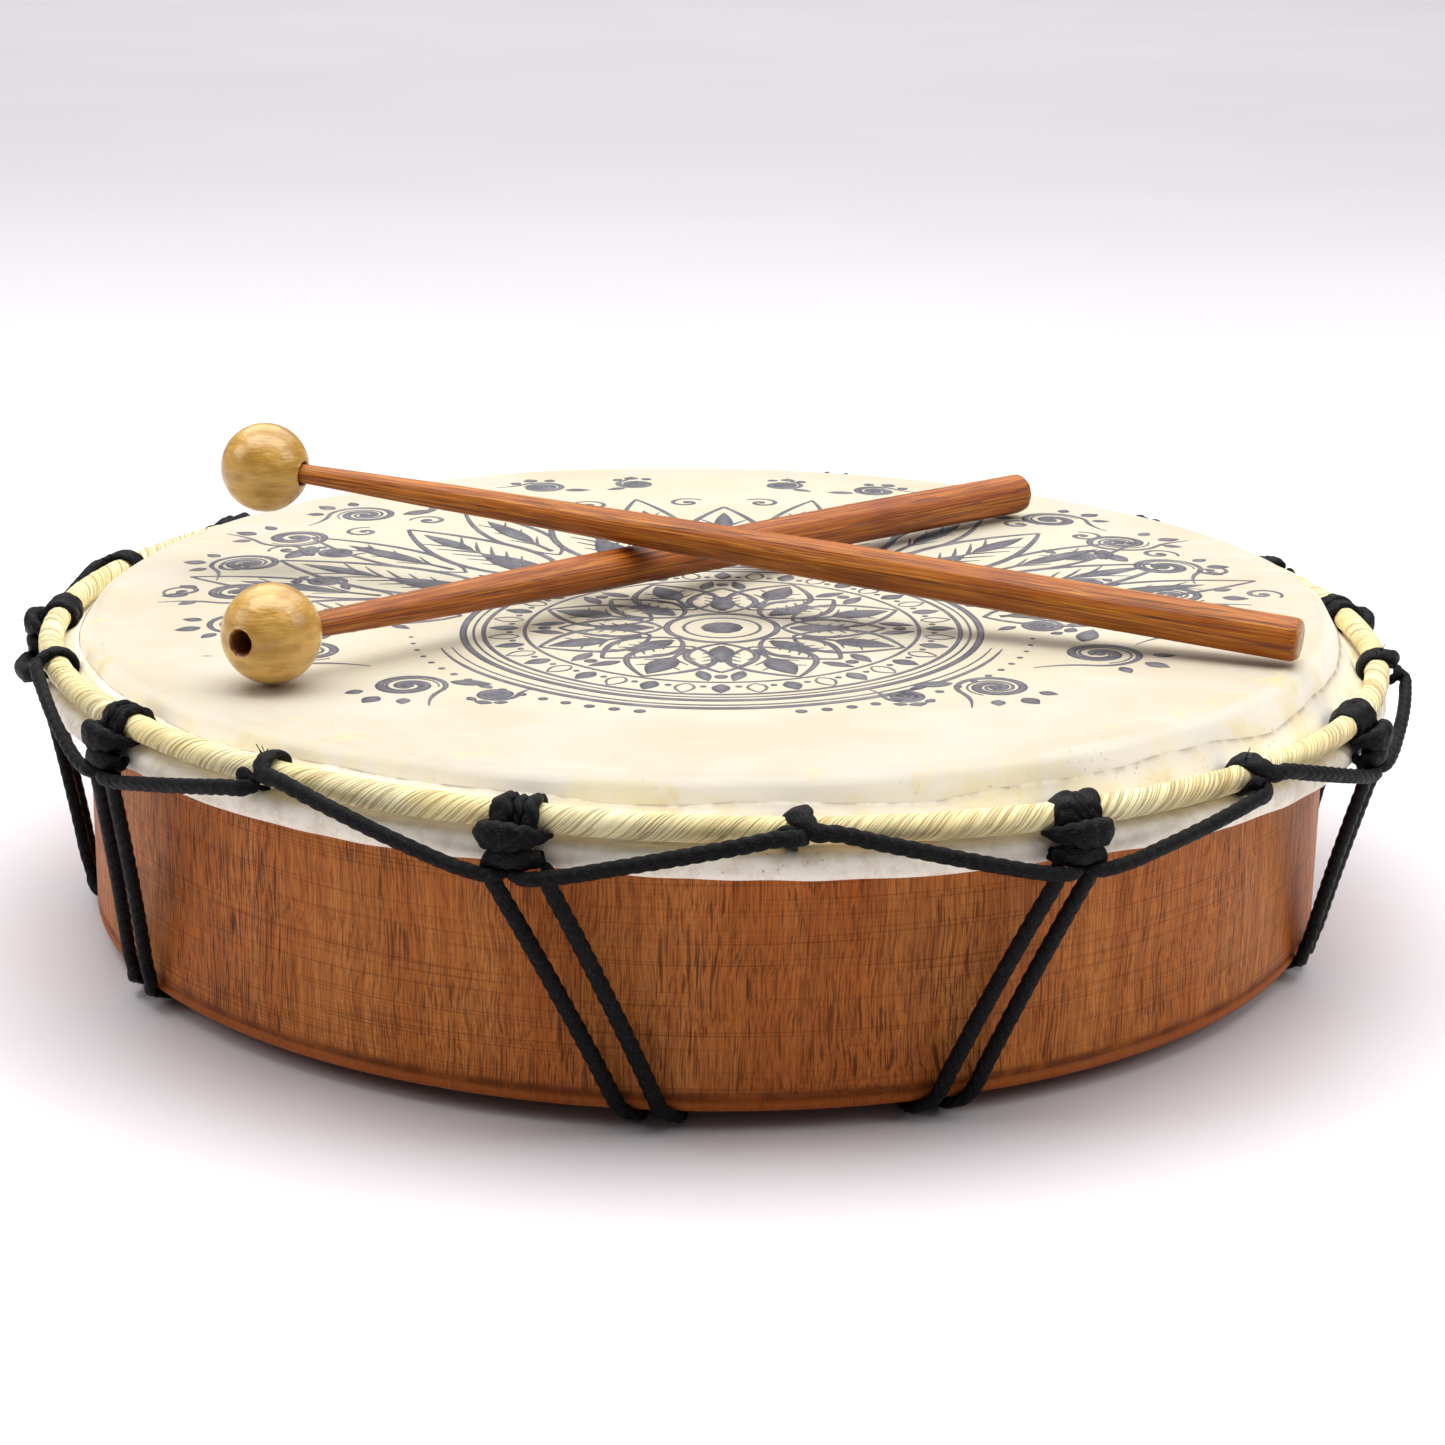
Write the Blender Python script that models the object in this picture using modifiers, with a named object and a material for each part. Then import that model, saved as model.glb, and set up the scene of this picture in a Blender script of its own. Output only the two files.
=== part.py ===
"""Hand-held frame drum, 300 mm across, lying on its lacing with two beaters on its head.

Metres, +Z up. The origin is on the floor under the middle of the shell, and -Y is the front.
A station angle is counted in degrees from the front, positive towards +X, so that a point at
radius r stands at (r sin a, -r cos a).
"""
import math

import bmesh
import bpy
from mathutils import Matrix, Vector

# Fits and resolution
GAP = 0.0003                    # clearance between pieces that touch on the real drum
RING_STEPS = 48                 # facets round every turned ring, the same on all of them
BORE_STEPS = 16                 # facets round a beater
CORD_RESOLUTION = 2             # eight sides on a cord

# Turned shell
SHELL_RADIUS = 0.150
SHELL_WALL = 0.009
SHELL_TOP = 0.0755
SHELL_BOTTOM = 0.0041           # one lacing cord and a gap above the floor
EDGE_RADIUS = 0.004             # rounded outer bearing edge
LIP_HEIGHT = 0.0030
LIP_GROOVE = 0.0006
INNER_CHAMFER = 0.0013

# Skin, lapped round the flesh hoop
SKIN_THICKNESS = 0.001
ROLL_CENTRE = (0.1594, 0.0619)  # radius, height
ROLL_RADIUS = 0.0031
LAP_END = math.radians(460)     # the skin's cut edge stops past the top of the hoop
FLESH_HOOP_RADIUS = 0.00175

# Crown ring, which the lacing pulls down on the skin's roll
CROWN_CENTRE = (0.1596, 0.0690)
CROWN_RADIUS = 0.0030
CROWN_WRAP_INSIDE = 0.0018
CROWN_HOOP_RADIUS = 0.0014
WRAP_SEAM = math.radians(215)   # where the wrap's edges meet, facing the skin
SEAM_HALF_ANGLE = math.radians(7)

# Lacing cord
CORD_RADIUS = 0.0019
HITCH_CLEARANCE = 0.0006        # round the crown ring, which the flat hitch meets as a curve
HITCH_CENTRE = (0.15945, 0.0690)
HITCH_HALF_WIDTH = 0.0060
STRIP_UNDER = 0.06525           # underside of the cord squeezed between the crown ring and the roll
CROSSBAR = (0.1656, 0.0665)
CROSSBAR_RADIUS = 0.0028
LOWER_TURN = (0.1653, 0.0612)
LOWER_TURN_RADIUS = 0.0023
TIE_HALF_WIDTH = 0.0026
TIE_FRONT = (0.1650, 0.0686)
ZIGZAG_RADIUS = 0.1664          # radius of the circle that the zigzag cord keeps to
ZIGZAG_HIGH = 0.0686
ZIGZAG_LOW = 0.0584
LEG_TOP = (0.1653, 0.0600)
LEG_TOP_SPREAD = 0.0034         # half the distance between the two legs at the hitch
LEG_FOOT = (0.1525, 0.0042)
BACK_CORD_START = 0.1545
BACK_CORD_BIGHT = 0.0025        # half the distance between the two strands at the grip

# Uneven hand lacing: the shell's top rises to the right, and the rings sink to the right
HEAD_LEAN = 0.0125              # rise for each metre to the right
HEAD_TWIST = 0.11               # how much the back of the head leans the other way
RING_SINK = 0.0005
RING_LEAN = -0.0098
RING_TWIST = 0.069
RING_SADDLE = 0.0098
RING_SHIFT = 0.0018             # how far the rings sit to the right of the shell
LEAN_BAND = 0.005               # width outside the shell over which one lean turns into the other

# Hitch angle, and the angles of its two legs at the shell's lower edge, in degrees
STATIONS = (
    (-159.0, -152.0, -149.2),
    (-123.7, -127.6, -124.8),
    (-88.2, -86.5, -83.5),
    (-52.0, -57.8, -54.2),
    (-13.7, -6.2, -3.0),
    (26.8, 18.8, 21.8),
    (63.2, 66.6, 69.6),
    (98.4, 94.8, 97.8),
    (132.0, 135.4, 138.4),
    (168.0, 162.6, 165.6),
)
TIE_ANGLES = (-141.0, -106.0, -70.2, -34.5, 6.0, 44.5, 80.4, 113.0, 150.0, 184.5)

# Grip ring in the middle of the back
GRIP_RADIUS = 0.026
GRIP_SECTION = 0.0043

# Beaters: the middle of the ball, the middle of the butt's end, and (distance, radius) between
BALL_RADIUS = 0.011
BALL_BORE = 0.0028
TENON_RADIUS = 0.0024
TENON_DEPTH = 0.003             # how far the stick runs past the ball's middle
BUTT_CHAMFER = 0.0007
LOWER_BALL = (-0.0945, -0.0851, 0.0870)
LOWER_BUTT = (0.0837, 0.0866, 0.0835)
LOWER_TAPER = ((0.0112, 0.00285), (0.040, 0.0036), (0.090, 0.0046), (0.150, 0.0050), (0.205, 0.0052))
LOWER_BUTT_RADIUS = 0.0053
UPPER_BALL = (-0.1110, 0.0196, 0.1016)
UPPER_BUTT = (0.1328, -0.0670, 0.0838)
UPPER_TAPER = ((0.0112, 0.0024), (0.045, 0.0032), (0.095, 0.0040), (0.150, 0.0048), (0.215, 0.0050))
UPPER_BUTT_RADIUS = 0.0050


def clear_scene():
    """Remove every object that the file starts with."""
    for obj in list(bpy.data.objects):
        bpy.data.objects.remove(obj, do_unlink=True)


def make_collection(name):
    collection = bpy.data.collections.new(name)
    bpy.context.scene.collection.children.link(collection)
    return collection


def make_material(name, colour, roughness, metallic=0.0):
    material = bpy.data.materials.new(name)
    material.use_nodes = True
    shader = material.node_tree.nodes["Principled BSDF"]
    shader.inputs["Base Color"].default_value = (*colour, 1.0)
    shader.inputs["Roughness"].default_value = roughness
    shader.inputs["Metallic"].default_value = metallic
    return material


def arc(centre, radius, start, end, steps, end_radius=None):
    """Points round a centre, from one angle to another. A second radius makes it a spiral."""
    last = radius if end_radius is None else end_radius
    points = []
    for step in range(steps + 1):
        part = step / steps
        angle = start + (end - start) * part
        reach = radius + (last - radius) * part
        points.append((centre[0] + reach * math.cos(angle), centre[1] + reach * math.sin(angle)))
    return points


def new_object(name, data, material, collection):
    obj = bpy.data.objects.new(name, data)
    collection.objects.link(obj)
    data.materials.append(material)
    return obj


def turned(name, profile, steps, material, collection):
    """Turn a profile of (radius, height) round Z. It is closed, unless it ends on the axis."""
    mesh = bpy.data.meshes.new(name)
    edges = [(index, index + 1) for index in range(len(profile) - 1)]
    if profile[0][0] > 0:
        edges.append((len(profile) - 1, 0))
    mesh.from_pydata([(radius, 0.0, height) for radius, height in profile], edges, [])
    obj = new_object(name, mesh, material, collection)
    screw = obj.modifiers.new("turn", "SCREW")
    screw.axis = "Z"
    screw.angle = 2 * math.pi
    screw.steps = steps
    screw.render_steps = steps
    screw.use_merge_vertices = True
    screw.merge_threshold = 0.00001
    screw.use_smooth_shade = True
    return obj


def cord(name, points, material, collection, radius=CORD_RADIUS):
    """A round cord along a list of points."""
    curve = bpy.data.curves.new(name, "CURVE")
    curve.dimensions = "3D"
    curve.bevel_depth = radius
    curve.bevel_resolution = CORD_RESOLUTION
    curve.use_fill_caps = True
    spline = curve.splines.new("POLY")
    spline.points.add(len(points) - 1)
    for point, place in zip(spline.points, points):
        point.co = (*place, 1.0)
    return new_object(name, curve, material, collection)


def as_mesh(obj):
    """Replace a curve object with a welded mesh that Booleans can use."""
    graph = bpy.context.evaluated_depsgraph_get()
    mesh = bpy.data.meshes.new_from_object(obj.evaluated_get(graph))
    welded = bmesh.new()
    welded.from_mesh(mesh)
    bmesh.ops.remove_doubles(welded, verts=welded.verts, dist=0.000001)
    welded.to_mesh(mesh)
    welded.free()
    name, collection = obj.name, obj.users_collection[0]
    solid = bpy.data.objects.new(name + "_solid", mesh)
    collection.objects.link(solid)
    solid.matrix_world = obj.matrix_world.copy()
    bpy.data.objects.remove(obj, do_unlink=True)
    solid.name = name
    return solid


def station(angle, radius, height, sideways=0.0):
    """The world point at a station angle, moved sideways along the ring's tangent."""
    turn = math.radians(angle)
    return Vector((
        radius * math.sin(turn) + sideways * math.cos(turn),
        -radius * math.cos(turn) + sideways * math.sin(turn),
        height,
    ))


def loop_plate(name, angle, outline, hole, half_width, material, collection):
    """A flat outline of (radius, height) with a hole in it, thickened along the ring's tangent."""
    curve = bpy.data.curves.new(name, "CURVE")
    curve.dimensions = "2D"
    curve.fill_mode = "BOTH"
    curve.extrude = half_width
    for points in (outline, hole):
        spline = curve.splines.new("POLY")
        spline.points.add(len(points) - 1)
        for point, (radius, height) in zip(spline.points, points):
            point.co = (radius, height, 0.0, 1.0)
        spline.use_cyclic_u = True
    obj = new_object(name, curve, material, collection)
    outward = station(angle, 1.0, 0.0)
    up = Vector((0.0, 0.0, 1.0))
    obj.matrix_world = Matrix((outward, up, outward.cross(up))).transposed().to_4x4()
    bpy.context.view_layer.update()
    return as_mesh(obj)


def fuse(obj, tools):
    """Fuse helper solids with an object, and remove the helpers."""
    for tool in tools:
        joined = obj.modifiers.new("join_" + tool.name, "BOOLEAN")
        joined.operation = "UNION"
        joined.solver = "EXACT"
        joined.object = tool
    fused = as_mesh(obj)
    for tool in tools:
        bpy.data.objects.remove(tool, do_unlink=True)
    return fused


def smooth_step(value):
    value = min(max(value, 0.0), 1.0)
    return value * value * (3 - 2 * value)


def settle(obj):
    """Lean a finished solid the way the uneven lacing pulls it. The foot of the drum stays put."""
    solid = as_mesh(obj)
    to_local = solid.matrix_world.inverted()
    for vertex in solid.data.vertices:
        place = solid.matrix_world @ vertex.co
        lifted = (place.z - SHELL_BOTTOM) / (SHELL_TOP - SHELL_BOTTOM)
        lifted = min(max(lifted, 0.0), 1.0)
        reach = math.hypot(place.x, place.y)
        outer = smooth_step((reach - SHELL_RADIUS) / LEAN_BAND)
        twist = place.x * max(place.y, 0.0) * (reach / SHELL_RADIUS) ** 2
        head = HEAD_LEAN * place.x - HEAD_TWIST * twist
        ring = RING_LEAN * place.x + RING_TWIST * place.x * place.y - RING_SINK
        ring += RING_SADDLE * (place.y ** 2 - place.x ** 2)
        place.z += (head + (ring - head) * outer) * lifted
        place.x += RING_SHIFT * outer * lifted
        vertex.co = to_local @ place
    return solid


def build_shell(material, collection):
    """The wooden wall, with a rounded bearing edge and a beaded lower lip."""
    inside = SHELL_RADIUS - SHELL_WALL
    edge_centre = (SHELL_RADIUS - EDGE_RADIUS, SHELL_TOP - EDGE_RADIUS)
    groove = SHELL_BOTTOM + LIP_HEIGHT + LIP_GROOVE
    lip_centre = (SHELL_RADIUS - LIP_HEIGHT / 2, SHELL_BOTTOM + LIP_HEIGHT / 2)
    profile = arc(edge_centre, EDGE_RADIUS, math.pi / 2, 0, 3)
    profile += [(SHELL_RADIUS, groove + LIP_GROOVE), (SHELL_RADIUS - LIP_GROOVE, groove)]
    profile += arc(lip_centre, LIP_HEIGHT / 2, math.radians(40), -math.pi / 2, 3)
    profile += [
        (inside + INNER_CHAMFER, SHELL_BOTTOM),
        (inside, SHELL_BOTTOM + INNER_CHAMFER),
        (inside, SHELL_TOP - INNER_CHAMFER),
        (inside + INNER_CHAMFER, SHELL_TOP),
    ]
    return turned("shell", profile, RING_STEPS, material, collection)


def build_skin(material, collection):
    """The head: flat, over the bearing edge, down, and lapped round under the flesh hoop."""
    edge_centre = (SHELL_RADIUS - EDGE_RADIUS, SHELL_TOP - EDGE_RADIUS)
    under = EDGE_RADIUS + GAP
    over = under + SKIN_THICKNESS
    across = ROLL_CENTRE[0] - edge_centre[0]
    down = ROLL_CENTRE[1] - edge_centre[1]
    leave = math.atan2(down, across) + math.acos((under + ROLL_RADIUS) / math.hypot(across, down))
    lap_steps = 9
    lap_inside = arc(ROLL_CENTRE, ROLL_RADIUS - SKIN_THICKNESS, leave + math.pi, LAP_END, lap_steps)
    lap_outside = arc(ROLL_CENTRE, ROLL_RADIUS, LAP_END, leave + math.pi, lap_steps)
    profile = [(0.0, edge_centre[1] + over)]
    profile += arc(edge_centre, over, math.pi / 2, leave, 3)
    profile += lap_inside + lap_outside
    profile += arc(edge_centre, under, leave, math.pi / 2, 3)
    profile += [(0.0, edge_centre[1] + under)]
    return turned("skin_head", profile, RING_STEPS, material, collection)


def build_hoop(name, centre, radius, material, collection):
    profile = arc(centre, radius, math.pi / 2, -3 * math.pi / 2, 6)[:-1]
    return turned(name, profile, RING_STEPS, material, collection)


def build_crown_wrap(material, collection):
    """The wound strip round the crown hoop, open along a seam that faces the skin."""
    start = WRAP_SEAM - SEAM_HALF_ANGLE
    end = WRAP_SEAM - 2 * math.pi + SEAM_HALF_ANGLE
    profile = arc(CROWN_CENTRE, CROWN_RADIUS, start, end, 11)
    profile += arc(CROWN_CENTRE, CROWN_WRAP_INSIDE, end, start, 7)
    return turned("crown_wrap", profile, RING_STEPS, material, collection)


def build_side_cord(number, angle, feet, material, collection, helpers):
    """A hitch round the crown ring, and the two legs that pull it down to the lower edge."""
    hole_radius = CROWN_RADIUS + HITCH_CLEARANCE
    over = arc(HITCH_CENTRE, 0.0050, math.radians(212), math.radians(20), 8, 0.0067)
    front = arc(CROSSBAR, CROSSBAR_RADIUS, math.radians(55), math.radians(-50), 3)
    low = arc(LOWER_TURN, LOWER_TURN_RADIUS, math.radians(20), math.radians(-165), 4)
    back = [(0.1633, 0.0628), (0.1628, 0.0643), (0.1616, STRIP_UNDER), (0.1566, STRIP_UNDER)]
    hole = arc(HITCH_CENTRE, hole_radius, 0, 2 * math.pi, 12)[:-1]
    name = f"side_cord_{number:02d}"
    hitch = loop_plate(name, angle, over + front + low + back, hole, HITCH_HALF_WIDTH, material, collection)
    legs = []
    for side, foot in zip((-1, 1), feet):
        top = station(angle, *LEG_TOP, sideways=side * LEG_TOP_SPREAD)
        bottom = station(foot, *LEG_FOOT)
        points = [top, top.lerp(bottom, 0.5), bottom]
        legs.append(as_mesh(cord(f"leg_{side}", points, material, helpers)))
    return fuse(hitch, legs)


def build_zigzag_cord(number, start, tie, end, material, collection, helpers):
    """The cord from one hitch up to a tie on the crown ring and down to the next hitch."""
    clear = math.degrees((HITCH_HALF_WIDTH + GAP + 0.0002) / ZIGZAG_RADIUS)
    first, last = start + clear, end - clear
    points = []
    for part in (0.0, 0.33, 0.66, 0.94):
        height = ZIGZAG_LOW + (ZIGZAG_HIGH - ZIGZAG_LOW) * part
        points.append(station(first + (tie - first) * part, ZIGZAG_RADIUS, height))
    for part in (0.94, 0.66, 0.33, 0.0):
        height = ZIGZAG_LOW + (ZIGZAG_HIGH - ZIGZAG_LOW) * part
        points.append(station(last + (tie - last) * part, ZIGZAG_RADIUS, height))
    run = as_mesh(cord("run", points, material, helpers))
    over = arc(HITCH_CENTRE, 0.0050, math.radians(212), math.radians(15), 6, 0.0064)
    front = arc(TIE_FRONT, CORD_RADIUS, math.radians(30), math.radians(-80), 2)
    back = [(0.1616, STRIP_UNDER), (0.1566, STRIP_UNDER)]
    hole = arc(HITCH_CENTRE, CROWN_RADIUS + HITCH_CLEARANCE, 0, 2 * math.pi, 12)[:-1]
    name = f"zigzag_cord_{number:02d}"
    knot = loop_plate(name, tie, over + front + back, hole, TIE_HALF_WIDTH, material, collection)
    return fuse(knot, [run])


def build_back_cord(number, feet, material, collection):
    """A hairpin of cord under the shell, from its edge in to the grip and out again."""
    inner = GRIP_RADIUS + GRIP_SECTION + GAP + CORD_RADIUS
    middle = (feet[0] + feet[1]) / 2
    bend_radius = inner + BACK_CORD_BIGHT
    points = [station(feet[0], BACK_CORD_START, CORD_RADIUS)]
    for step in range(5):
        turn = math.pi * step / 4
        sideways = -BACK_CORD_BIGHT * math.cos(turn)
        radius = bend_radius - BACK_CORD_BIGHT * math.sin(turn)
        points.append(station(middle, radius, CORD_RADIUS, sideways=sideways))
    points.append(station(feet[1], BACK_CORD_START, CORD_RADIUS))
    return cord(f"back_cord_{number:02d}", points, material, collection)


def build_grip(material, collection):
    """The cord-wound ring that gathers the back cords."""
    centre = (GRIP_RADIUS, GRIP_SECTION + GAP)
    profile = arc(centre, GRIP_SECTION, math.pi / 2, -3 * math.pi / 2, 8)[:-1]
    return turned("grip_ring", profile, RING_STEPS // 2, material, collection)


def build_ball(name, axle, material, collection):
    """A drilled wooden ball, turned round the beater's axle."""
    mouth = math.asin(BALL_BORE / BALL_RADIUS)
    profile = arc((0.0, 0.0), BALL_RADIUS, math.pi / 2 - mouth, mouth - math.pi / 2, 10)
    ball = turned(name, profile, BORE_STEPS, material, collection)
    ball.parent = axle
    return ball


def build_stick(name, axle, length, taper, butt_radius, material, collection):
    """A tapered stick, from its flat butt down to the tenon in the ball."""
    profile = [(0.0, length), (butt_radius - BUTT_CHAMFER, length), (butt_radius, length - BUTT_CHAMFER)]
    profile += [(radius, distance) for distance, radius in reversed(taper)]
    tenon_top = taper[0][0] - GAP
    profile += [(TENON_RADIUS - 0.0001, tenon_top), (TENON_RADIUS, -TENON_DEPTH), (0.0, -TENON_DEPTH)]
    stick = turned(name, profile, BORE_STEPS, material, collection)
    stick.parent = axle
    return stick


def build_beater(name, ball, butt, taper, butt_radius, wood, pale_wood, collection):
    """One beater, placed by an empty in the middle of its ball, with +Z towards the butt."""
    along = Vector(butt) - Vector(ball)
    axle = bpy.data.objects.new(name + "_axle", None)
    collection.objects.link(axle)
    axle.location = ball
    axle.rotation_mode = "QUATERNION"
    axle.rotation_quaternion = along.to_track_quat("Z", "Y")
    build_ball(name + "_ball", axle, pale_wood, collection)
    build_stick(name + "_stick", axle, along.length, taper, butt_radius, wood, collection)


def main():
    clear_scene()
    drum = make_collection("frame_drum")
    helpers = make_collection("cutters")
    mahogany = make_material("mahogany", (0.36, 0.13, 0.05), 0.45)
    skin = make_material("rawhide", (0.84, 0.76, 0.60), 0.6)
    steel = make_material("hoop_steel", (0.45, 0.44, 0.42), 0.4, 1.0)
    strip = make_material("wrapping_strip", (0.86, 0.73, 0.44), 0.6)
    black = make_material("waxed_cord", (0.012, 0.012, 0.014), 0.5)
    stained = make_material("stained_wood", (0.40, 0.10, 0.03), 0.4)
    pale = make_material("pale_wood", (0.72, 0.50, 0.24), 0.25)

    settle(build_shell(mahogany, drum))
    settle(build_skin(skin, drum))
    settle(build_hoop("flesh_hoop", ROLL_CENTRE, FLESH_HOOP_RADIUS, steel, drum))
    settle(build_hoop("crown_hoop", CROWN_CENTRE, CROWN_HOOP_RADIUS, steel, drum))
    settle(build_crown_wrap(strip, drum))
    for index, (angle, *feet) in enumerate(STATIONS):
        following = STATIONS[(index + 1) % len(STATIONS)][0]
        if following < angle:
            following += 360
        settle(build_side_cord(index + 1, angle, feet, black, drum, helpers))
        settle(build_zigzag_cord(index + 1, angle, TIE_ANGLES[index], following, black, drum, helpers))
        build_back_cord(index + 1, feet, black, drum)
    build_grip(black, drum)
    build_beater("beater_lower", LOWER_BALL, LOWER_BUTT, LOWER_TAPER, LOWER_BUTT_RADIUS, stained, pale, drum)
    build_beater("beater_upper", UPPER_BALL, UPPER_BUTT, UPPER_TAPER, UPPER_BUTT_RADIUS, stained, pale, drum)
    bpy.context.view_layer.update()


main()
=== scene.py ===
import math

import bmesh
import bpy
import numpy as np
from mathutils import Matrix, Vector


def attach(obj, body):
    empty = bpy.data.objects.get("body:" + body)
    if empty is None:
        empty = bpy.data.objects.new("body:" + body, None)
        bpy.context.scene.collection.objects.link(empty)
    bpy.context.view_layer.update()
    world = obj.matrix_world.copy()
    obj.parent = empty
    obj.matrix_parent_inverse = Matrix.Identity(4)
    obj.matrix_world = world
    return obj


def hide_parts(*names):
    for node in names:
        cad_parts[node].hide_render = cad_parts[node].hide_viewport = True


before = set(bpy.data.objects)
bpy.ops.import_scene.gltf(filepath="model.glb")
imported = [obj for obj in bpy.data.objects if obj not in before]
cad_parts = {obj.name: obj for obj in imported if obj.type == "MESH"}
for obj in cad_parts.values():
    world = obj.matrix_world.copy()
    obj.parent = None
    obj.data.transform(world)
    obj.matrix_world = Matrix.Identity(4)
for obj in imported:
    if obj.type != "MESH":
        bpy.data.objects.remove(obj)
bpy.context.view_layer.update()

MM = 0.001
TURN = 2 * math.pi

# The drum's own sizes, the same as in the CAD
SHELL_RADIUS = 0.150
SHELL_INSIDE = 0.141
SHELL_TOP = 0.0755
SHELL_BOTTOM = 0.0041
EDGE_CENTRE = (0.146, 0.0715)   # middle of the rounded bearing edge, as (radius, height)
SKIN_UNDER = 0.0043             # from that middle to the skin's two faces
SKIN_OVER = 0.0051
ROLL_CENTRE = (0.1594, 0.0619)  # the skin's roll round its hoop
ROLL_RADIUS = 0.0031
RING_CENTRE = (0.1596, 0.0690)  # the wound crown ring
RING_RADIUS = 0.0030
LEG_FOOT = (0.1525, 0.0062)
GRIP_RADIUS = 0.026
GRIP_SECTION = 0.0041
HEAD_LEAN = 0.0125
HEAD_TWIST = 0.11
RING_SINK = 0.0005
RING_LEAN = -0.0098
RING_TWIST = 0.069
RING_SADDLE = 0.0098
RING_SHIFT = 0.0018
LEAN_BAND = 0.005
STRIP_TURNS = 60                # the strip's turns round the crown ring,
STRIP_PITCH = 16.7              # and their advance in mm
RING_MM = (159.6, 69.0)         # the crown ring's middle again, in mm for the lacing
LACING_REACH = 160.0            # radius in mm at which a sideways place on the lacing is measured
YARN_PITCH = 3.1                # mm along a cord from one yarn to the next
YARN_LEAN = 1.05
PAST_FOOT = 4.0                 # how far the legs run on sideways under the rim, in mm

# Hitch angle, its legs' angles at the foot, the legs' places under the hitch in mm, and its hand
STATIONS = (
    (-159.0, -152.0, -149.2, -3.2, 3.8, 1),
    (-123.7, -127.6, -124.8, -3.4, 3.2, 1),
    (-88.2, -86.5, -83.5, -3.2, 3.6, 1),
    (-52.0, -57.8, -54.2, -3.4, 3.4, 1),
    (-13.7, -6.2, -3.0, -3.0, 8.2, 1),
    (26.8, 18.8, 21.8, -5.2, 2.2, -1),
    (63.2, 66.6, 69.6, -3.4, 3.4, -1),
    (98.4, 94.8, 97.8, -3.6, 3.2, -1),
    (132.0, 135.4, 138.4, -3.2, 3.6, -1),
    (168.0, 162.6, 165.6, -3.6, 3.2, -1),
)
TIE_ANGLES = (-141.0, -106.0, -70.2, -34.5, 6.0, 44.5, 80.4, 113.0, 150.0, 184.5)

BALL_RADIUS = 0.011
BALL_BORE = 0.0028
LOWER_BALL = (-0.0945, -0.0851, 0.0870)
LOWER_BUTT = (0.0837, 0.0866, 0.0835)
LOWER_TAPER = ((0.0112, 0.00285), (0.040, 0.0036), (0.090, 0.0046), (0.150, 0.0050), (0.205, 0.0052))
UPPER_BALL = (-0.1110, 0.0196, 0.1016)
UPPER_BUTT = (0.1328, -0.0670, 0.0838)
UPPER_TAPER = ((0.0112, 0.0024), (0.045, 0.0032), (0.095, 0.0040), (0.150, 0.0048), (0.215, 0.0050))


# ---------------------------------------------------------------- camera

def make_camera():
    """A long lens in front of the drum, a little above it and looking down on it."""
    pitch, roll = 0.29008, 0.01449
    forward = Vector((0, math.cos(pitch), -math.sin(pitch)))
    upright = Vector((0, math.sin(pitch), math.cos(pitch)))
    across = Vector((1, 0, 0))
    right = math.cos(roll) * across + math.sin(roll) * upright
    up = math.cos(roll) * upright - math.sin(roll) * across
    camera = bpy.data.objects.new("camera", bpy.data.cameras.new("camera"))
    camera.data.sensor_width = 36
    camera.data.lens = 75.38
    camera.data.clip_start = 0.01
    turned = Matrix((right, up, -forward)).transposed().to_4x4()
    camera.matrix_world = Matrix.Translation((0.00374, -0.71996, 0.25778)) @ turned
    link(camera)
    bpy.context.scene.camera = camera


# ---------------------------------------------------------------- shapes

def link(obj):
    bpy.context.scene.collection.objects.link(obj)


def smooth(value):
    value = np.clip(value, 0.0, 1.0)
    return value * value * (3 - 2 * value)


def settle(points):
    """Lean points the way the uneven lacing pulls the drum. The foot of the drum stays put."""
    points = np.array(points, float)
    x, y, z = points[..., 0].copy(), points[..., 1], points[..., 2]
    lifted = np.clip((z - SHELL_BOTTOM) / (SHELL_TOP - SHELL_BOTTOM), 0, 1)
    reach = np.hypot(x, y)
    outer = smooth((reach - SHELL_RADIUS) / LEAN_BAND)
    head = HEAD_LEAN * x - HEAD_TWIST * x * np.maximum(y, 0) * (reach / SHELL_RADIUS) ** 2
    ring = RING_LEAN * x + RING_TWIST * x * y - RING_SINK + RING_SADDLE * (y * y - x * x)
    points[..., 2] += (head + (ring - head) * outer) * lifted
    points[..., 0] += RING_SHIFT * outer * lifted
    return points


def full_turn(steps):
    """Equal steps round a whole turn, in radians, without the last one."""
    return np.linspace(0, TURN, steps + 1)[:-1]


def around_drum(steps):
    """Equal steps round the drum, in degrees from -180."""
    return np.linspace(-180, 180, steps + 1)[:-1]


def station(angle, radius, height):
    """World points at a station angle in degrees. All three may be arrays."""
    turn = np.radians(angle)
    return np.stack(np.broadcast_arrays(radius * np.sin(turn), -radius * np.cos(turn), height), -1)


def arc(centre, radius, start, end, steps):
    """Points of (radius, height) round a centre, angles in degrees."""
    angles = np.radians(np.linspace(start, end, steps + 1))
    return np.stack((centre[0] + radius * np.cos(angles), centre[1] + radius * np.sin(angles)), -1)


def ripple(angles, waves, seed):
    """A smooth periodic curve round the ring, between about -1 and 1."""
    random = np.random.default_rng(seed)
    total = np.zeros_like(angles)
    for wave in waves:
        total += random.uniform(0.5, 1.0) * np.sin(wave * angles + random.uniform(0, TURN))
    return total / math.sqrt(len(waves))


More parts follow.
